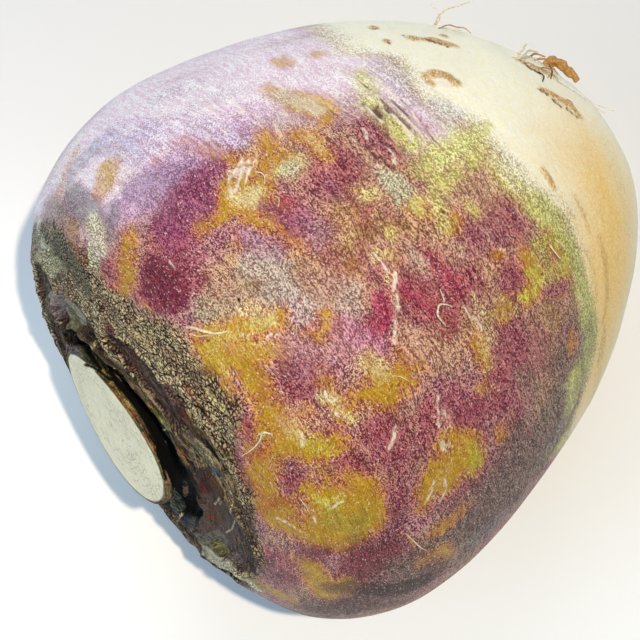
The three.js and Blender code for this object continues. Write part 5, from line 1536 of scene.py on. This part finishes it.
height = fleck * 0.05 + clump * 0.1 + ragged * 0.2 - threads * 0.04
height = height + corky * ease(plates, 0.0, 0.2) * 0.35 - crack * crown * 0.25
height = height + leafage * strand * 1.4 - seam * 0.3
wire(skin_shader, Base_Color=colour, Normal=bumped(height), Specular_IOR_Level=0.22,
     Roughness=0.46 - bare * 0.1 + bloom_and_sheen * 0.06 + crown * 0.25)
print("root skin has", len(skin_look.node_tree.nodes), "nodes")

# %% [markdown]
# ## The body
# The mesh takes the fields along as attributes, one number or colour per vertex. `grain`
# holds the place of each vertex as distance along the outline and the two coordinates across
# the axis, so patterns follow the skin even where the crown folds over itself.

# %% Make the body
body = new_piece("rutabaga_body", in_room(with_ends(shaped, ends[0], ends[1])),
                 closed_grid(len(rows), LONGITUDES), skin_look)
for name, values in fields.items():
    give(body, name, with_ends(values))
skin_place = np.stack([along, smooth_skin[..., 1], smooth_skin[..., 2]], -1)
give(body, "daub", with_ends(daub), "FLOAT_COLOR")
give(body, "patch", with_ends(patch), "FLOAT_COLOR")
give(body, "grain", with_ends(skin_place, (arc[0], 0, 0), (arc[-1], 0, 0)), "FLOAT_VECTOR")
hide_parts("rutabaga")
print(body.name, "has", len(body.data.polygons), "faces")

# %% [markdown]
# ## Hairs, curls and a side root
# Fine hairs, curled flakes of rind and one snapped side root stand off the skin. Each is a
# tapered tube along a smooth path. A path's knots name a place on the skin, a height above it
# (mm) and a radius (mm), so a tube starts under the skin and can't float away from it.

# %% Tubes that stand on the skin
FIBRES = [
    ("pale", [(71.2, 67, 0.2, 0.225), (70.5, 63, 1.5, 0.198), (71.2, 63, 3.5, 0.18),
     (72.6, 63, 5, 0.162), (74, 61, 6, 0.135), (76.7, 63, 8, 0.09)]),
    ("pale", [(70.9, 64, 1, 0.135), (70.9, 62, 2.5, 0.108), (69.8, 62, 4, 0.09),
     (68.8, 63, 5, 0.072)]),
    ("tan", [(62.5, 43, 0.3, 0.135), (66.6, 46, 1, 0.144), (65.5, 40, 1.5, 0.135),
     (70.9, 46, 1, 0.108), (72.6, 46, 0.3, 0.09)]),
    ("pale", [(64.4, 45, 0.4, 0.108), (63.6, 40, 0.9, 0.108), (67, 40, 0.9, 0.09)]),
    ("pale", [(95.7, 9, 0.3, 0.126), (96.4, 4, 1, 0.108), (96.8, -2, 2, 0.09),
     (97, -6, 3, 0.063)]),
    ("pale", [(96.6, 5, 0.3, 0.108), (97, -3, 1, 0.062), (97.3, -8, 2, 0.0434)]),
    ("pale", [(77.4, 29, 0.5, 0.288), (78.4, 30, 2, 0.27), (80.9, 34, 2.6, 0.144)]),
    ("pale", [(76.7, 26, 0.5, 0.288), (82.5, 34, 1.6, 0.234), (84.9, 34, 2.2, 0.126)]),
    ("tan", [(90.4, 52, 0.5, 0.27), (87.7, 41, 1.6, 0.234), (88.5, 36, 2, 0.135)]),
    ("pale", [(71.6, 22, 0.3, 0.234), (76.4, 25, 1, 0.234), (80.3, 27, 1, 0.18),
     (86.3, 31, 0.5, 0.108)]),
    ("tan", [(92.6, 58, 0.5, 0.27), (91.6, 47, 1.5, 0.27), (92.1, 41, 2, 0.225),
     (91.4, 34, 1.5, 0.126)]),
    ("tan", [(77, 19, 0.3, 0.198), (80, 20, 1, 0.18), (82.2, 19, 1, 0.135),
     (77.7, 14, 0.3, 0.09)]),
    ("dark", [(76.7, 17, 0.3, 0.18), (76, 14, 0.6, 0.18), (73.6, 11, 0.3, 0.108)]),
    ("tan", [(84.9, 27, 0.8, 0.225), (86, 24, 1, 0.18), (86.3, 21, 0.5, 0.108)]),
    ("dark", [(79, 14, 0.2, 0.18), (82.2, 19, 1, 0.18), (85.7, 27, 1.2, 0.108)]),
    ("pale", [(90.6, 62, 0.4, 0.198), (92.6, 61, 1, 0.18), (94.1, 55, 0.9, 0.126)]),
    ("dark", [(75, 22, 0.2, 0.162), (76.7, 20, 0.4, 0.18), (79, 19, 0.3, 0.108)]),
    ("tan", [(72.6, 7, 0.2, 0.135), (72.6, 4, 0.8, 0.135), (74, 3, 0.4, 0.09)]),
    ("tan", [(77, 3, 0.3, 0.135), (77, 1, 0.8, 0.108), (78, -1, 0.2, 0.072)]),
    ("tan", [(71.9, 4, 0.2, 0.108), (73.6, 2, 0.6, 0.108), (75.4, -1, 0.2, 0.072)]),
    ("pale", [(-31.4, 3, 0.2, 0.124), (-30, 2, 0.5, 0.2232), (-28.6, 0, 0.7, 0.2604),
     (-26.8, -2, 0.6, 0.2108), (-24.6, -3, 0.2, 0.0868)]),
    ("pale", [(-31.6, 2, 0.2, 0.0868), (-30.2, 0, 0.5, 0.1488), (-28.8, -1, 0.4, 0.124),
     (-27.6, -2, 0.2, 0.062)]),
    ("pale", [(-37.8, -27, 0.2, 0.0868), (-34.7, -26, 0.7, 0.124), (-32.5, -25, 1, 0.1364),
     (-31, -24, 1.1, 0.1488), (-29.9, -23, 1.1, 0.2108), (-28.9, -24, 0.8, 0.1612),
     (-29.1, -25, 0.3, 0.0868)]),
    ("pale", [(-32.3, -24, 0.4, 0.062), (-30.8, -23, 0.9, 0.0868), (-30.2, -24, 0.6, 0.0744)]),
    ("pale", [(13.7, -23, 0.2, 0.0744), (12.7, -22, 0.8, 0.1612), (11, -21, 1.1, 0.2108),
     (9.7, -22, 1.1, 0.1984), (9.7, -23, 0.9, 0.1612), (10.4, -25, 0.3, 0.0744)]),
    ("pale", [(13.4, -19, 0.2, 0.0868), (12.7, -21, 0.5, 0.124), (12.4, -21, 0.3, 0.0744)]),
    ("pale", [(-14.3, -56, 0.3, 0.0868), (-13.5, -58, 0.6, 0.1364), (-12.4, -61, 0.7, 0.1364),
     (-11, -64, 0.4, 0.0868)]),
    ("tan", [(-14.1, -57, 0.2, 0.108), (-13.7, -59, 0.6, 0.162), (-13.2, -62, 0.2, 0.09)]),
    ("pale", [(-4.1, -26, 0.2, 0.062), (-2.8, -27, 0.5, 0.0992), (-1.5, -29, 0.2, 0.0496)]),
    ("pale", [(42.1, -27, 0.2, 0.124), (41.8, -28, 0.7, 0.1488), (42.1, -30, 0.9, 0.1612),
     (43.2, -32, 0.4, 0.0868)]),
    ("pale", [(44.2, -27, 0.2, 0.0992), (44.9, -29, 0.6, 0.124), (45.6, -31, 0.3, 0.0744)]),
    ("pale", [(41.8, -31, 0.2, 0.1488), (41.8, -33, 0.4, 0.0868)]),
    ("tan", [(37.3, -38, 0.2, 0.09), (39.1, -38, 0.4, 0.108), (41.1, -39, 0.2, 0.072)]),
    ("pale", [(-2, 17, 0.2, 0.124), (-1.5, 16, 0.7, 0.1612), (-1.5, 15, 0.7, 0.1612),
     (-2.3, 14, 0.2, 0.0868)]),
    ("pale", [(-2.3, 11, 0.2, 0.0868), (-2.3, 10, 0.6, 0.124), (-3.3, 9, 0.2, 0.0744)]),
    ("tan", [(-35.3, 15, 0.2, 0.126), (-34.7, 12, 0.5, 0.198), (-34.7, 11, 0.3, 0.108)]),
    ("tan", [(19.3, -29, 0.2, 0.09), (21.6, -29, 0.4, 0.108), (24.6, -29, 0.2, 0.072)]),
    ("pale", [(-30.4, -40, 0.2, 0.062), (-29.9, -42, 0.4, 0.0868), (-29.9, -44, 0.2, 0.0496)]),
]
SIDE_ROOT = [
    (88.5, 33, 0.3, 0.9),
    (89, 32, 1.8, 1.15),
    (89.8, 29, 2.4, 1),
    (91.1, 26, 2.2, 0.92),
    (92.1, 22, 1.9, 0.82),
    (92.9, 19, 1.7, 0.5)
]


SUNK = 0.15                        # how far a height of 0 lies under the skin, mm


def raised(knots):
    """The places of knots above the skin: the spot on the skin plus the height times the
    normal there, which is the cross product of a small step along and a small step round."""
    knots = np.array(knots, float)
    place, turned_to = knots[:, 0], knots[:, 1]
    ahead = spot(place + 0.3, turned_to) - spot(place - 0.3, turned_to)
    aside = spot(place, turned_to + 0.5) - spot(place, turned_to - 0.5)
    normal = np.cross(ahead, aside)
    normal /= np.linalg.norm(normal, axis=-1, keepdims=True)
    return spot(place, turned_to) + (knots[:, 2:3] - SUNK) * normal, normal


def tube(knots, sides=8, steps=6, wavy=0.35):
    """A tube on a spline through raised knots: each ring is the path's point plus radius
    times (cos a · side + sin a · up), the side being square to the path. Noise then swells
    or shrinks each ring point by up to `wavy` times the radius."""
    points, normal = raised(knots)
    radius = np.array(knots, float)[:, 3]
    t = np.linspace(0, len(points) - 1, steps * (len(points) - 1) + 1)
    path = spline(points, t)
    ring = np.minimum(t.astype(int), len(points) - 2)
    u = (t - ring)[:, None]
    ahead = np.gradient(path, axis=0)
    up = normal[ring] + (normal[ring + 1] - normal[ring]) * u
    side = np.cross(up, ahead)
    side /= np.maximum(np.linalg.norm(side, axis=-1, keepdims=True), 1e-9)
    up = np.cross(ahead, side)
    up /= np.maximum(np.linalg.norm(up, axis=-1, keepdims=True), 1e-9)
    angle = np.linspace(0, 2 * math.pi, sides, endpoint=False)[:, None]
    thick = np.interp(t, np.arange(len(radius)), radius)[:, None, None]
    shell = path[:, None] + thick * (np.cos(angle) * side[:, None] + np.sin(angle) * up[:, None])
    shell = shell + wavy * (shell - path[:, None]) * noise(shell, 0.9, 7)[..., None]
    return shell, path[0], path[-1]


# %% [markdown]
# ## Dry fibres
# A dry root fibre is a bundle of strands, so it is streaked along its length and dull. Each
# tube carries its own tone on its vertices, and one material serves all of them.

# %% The fibres' material
FIBRE_TONES = {"pale": (250, 236, 200), "tan": (204, 156, 92), "dark": (70, 46, 32)}
SIDE_ROOT_TONE = (196, 148, 78)


def fibre_material():
    """Each fibre's own colour, streaked along its length and flecked."""
    material, shader = new_material("dry fibre")
    place = Shade.node("ShaderNodeTexCoord", out=3)
    streak = cloud(scaled(place, 1 / MM, 1 / MM, 1 / MM), 0.5, 3.0, 0.7) - 0.5
    tone = kept("tone", 0)
    colour = blend(ease(streak, -0.2, 0.2), scaled(tone, 0.6, 0.54, 0.46),
                   scaled(tone, 1.1, 1.1, 1.1))
    wire(shader, Base_Color=colour, Roughness=0.62, Normal=bumped(streak * 0.3))
    return material


# %% [markdown]
# ## From paths to pieces
# Many small tubes are cheapest as one mesh, and a table of fibres stays one piece that way.
# The side root is thick enough to be a piece of its own. All of them ride on the body.

# %% Make the fibres and the side root
def bundle(name, tubes, tones, material):
    """Several tubes as one mesh, each closed at both ends, with a colour per vertex."""
    vertices, faces, colours = [], [], []
    count = 0
    for (shell, first, last), tone in zip(tubes, tones):
        made = with_ends(shell, first, last)
        faces += [tuple(count + k for k in face)
                  for face in closed_grid(shell.shape[0], shell.shape[1])]
        vertices.append(made)
        colours.append(np.tile(paint(*tone), (len(made), 1)))
        count += len(made)
    piece = new_piece(name, in_room(np.concatenate(vertices)), faces, material)
    give(piece, "tone", np.concatenate(colours), "FLOAT_COLOR")
    print(name, "has", len(tubes), "tubes and", len(faces), "faces")


dry = fibre_material()
bundle("fibres", [tube(knots) for _, knots in FIBRES],
       [FIBRE_TONES[kind] for kind, _ in FIBRES], dry)
bundle("side_root", [tube(SIDE_ROOT, 28, 12, 0.5)], [SIDE_ROOT_TONE], dry)

# %% [markdown]
# ## A pale table
# The root lies on white paper that runs on until it fades into a pale wall. A real studio
# bends the paper upwards behind the object, and a large flat sheet does the same job if its
# far part shows as even brightness. Light Path tells the rays that the camera sends from
# those that only carry light, so the far paper can look pale grey. The near paper shows the
# camera painted light: a falloff that darkens it towards the far side, and a faint painted
# blue glow beside the shadow. It goes on lighting the root as white paper does.

# %% A pale table
FLOOR_HALF = 3.0                   # half the width of the paper, m
WALL = (0.84, 0.85, 0.86, 1)       # the pale wall's brightness, 1 being white
BLACK = (0, 0, 0, 1)
floor_mesh = bpy.data.meshes.new("table")
floor_mesh.from_pydata([(-FLOOR_HALF, -FLOOR_HALF, 0), (FLOOR_HALF, -FLOOR_HALF, 0),
                        (FLOOR_HALF, FLOOR_HALF, 0), (-FLOOR_HALF, FLOOR_HALF, 0)],
                       [], [(0, 1, 2, 3)])
paper, paper_shader = new_material("white paper")
seen = Shade.node("ShaderNodeLightPath", out=0)
place = Shade.node("ShaderNodeTexCoord", out=3)


def gone(way):
    """How far a place of the paper has gone a certain way, in units of 100 mm: the dot
    product of the place and the way."""
    return Shade.node("ShaderNodeVectorMath", {"operation": "DOT_PRODUCT"},
                      {0: place, 1: tuple(way / MM / 100)}, out=1)


# Painted falloff: the near paper, as the camera sees it, darkens towards the far side.
beyond = gone(0.94 * upward + 0.33 * right)
lit = blend(ease(beyond, -0.95, 0.95), (1.0, 1.0, 1.0, 1), (0.75, 0.74, 0.73, 1))
# Painted glow: faint blue light added beside the root's shadow, for the camera only.
beside = gone(0.6 * upward - 0.8 * right)
glow = blend(ease(beside, -0.25, 0.25), (0.03, 0.05, 0.06, 1), (0.1, 0.14, 0.14, 1))
glow = blend(ease(beyond, -0.5, 0.3), glow, BLACK)
away = Shade.node("ShaderNodeVectorMath", {"operation": "LENGTH"}, {0: place}, out=1)
far = ease(away, 0.2, 0.7) * seen
wire(paper_shader, Roughness=0.9, Emission_Strength=1.0,
     Base_Color=blend(far, blend(seen, paint(240, 241, 242), lit), BLACK),
     Emission_Color=blend(far, blend(seen, BLACK, glow), WALL))
print("paper is", 2 * FLOOR_HALF, "m wide")
floor_mesh.materials.append(paper)
floor = bpy.data.objects.new("table", floor_mesh)
bpy.context.scene.collection.objects.link(floor)

# %% [markdown]
# ## Lamp, window and sky
# The light comes from one lamp close to the camera's own direction, with a bright window
# beyond the root. The lamp is small and gives crisp glints and a narrow shadow, and the
# window is wide and pales the far flank. A card on the crown's side keeps the shadow soft.
# The sky's fill is faint and a little blue, and to the camera it is the same pale wall as
# the far paper.

# %% Lamp, window and sky
def lamp(name, toward, distance, size, level, colour):
    """A square lamp facing the root, strong enough that a white surface facing it would look
    `level` bright: its power is level times pi squared times the distance squared."""
    toward = np.asarray(toward, float)
    toward = toward / np.linalg.norm(toward)
    side = np.cross([0, 0, 1.0], toward)
    side /= np.linalg.norm(side)
    light = bpy.data.lights.new(name, "AREA")
    light.size = size
    light.energy = level * math.pi ** 2 * distance ** 2
    light.color = colour
    holder = bpy.data.objects.new(name, light)
    bpy.context.scene.collection.objects.link(holder)
    place = CENTRE + toward * distance / MM
    holder.matrix_world = turned(side, np.cross(toward, side), toward, place)
    print(name, "shines with", round(light.energy, 2), "W")


lamp("lamp", back + 0.148 * right + 0.078 * upward,
     distance=0.9, size=0.02, level=0.77, colour=(1.0, 0.84, 0.62))
lamp("window", 0.5 * back + 0.8 * upward - 0.1 * right,
     distance=0.9, size=0.7, level=0.38, colour=(0.92, 0.94, 1.0))
lamp("card", 0.5 * back - 0.3 * upward - 0.8 * right,
     distance=0.7, size=0.5, level=0.25, colour=(0.82, 0.93, 1.0))

sky = bpy.data.worlds.new("sky")
bpy.context.scene.world = sky
sky.use_nodes = True
Shade.tree = sky.node_tree
seen = Shade.node("ShaderNodeLightPath", out=0)
fill = Shade.node("ShaderNodeBackground", {}, {"Color": (0.38, 0.67, 1.0, 1), "Strength": 0.36})
wall = Shade.node("ShaderNodeBackground", {}, {"Color": WALL})
shown = Shade.node("ShaderNodeMixShader", {}, {0: seen, 1: fill, 2: wall})
Shade.tree.links.new(shown.socket, sky.node_tree.nodes["World Output"].inputs["Surface"])
bpy.context.scene.view_settings.view_transform = "Standard"
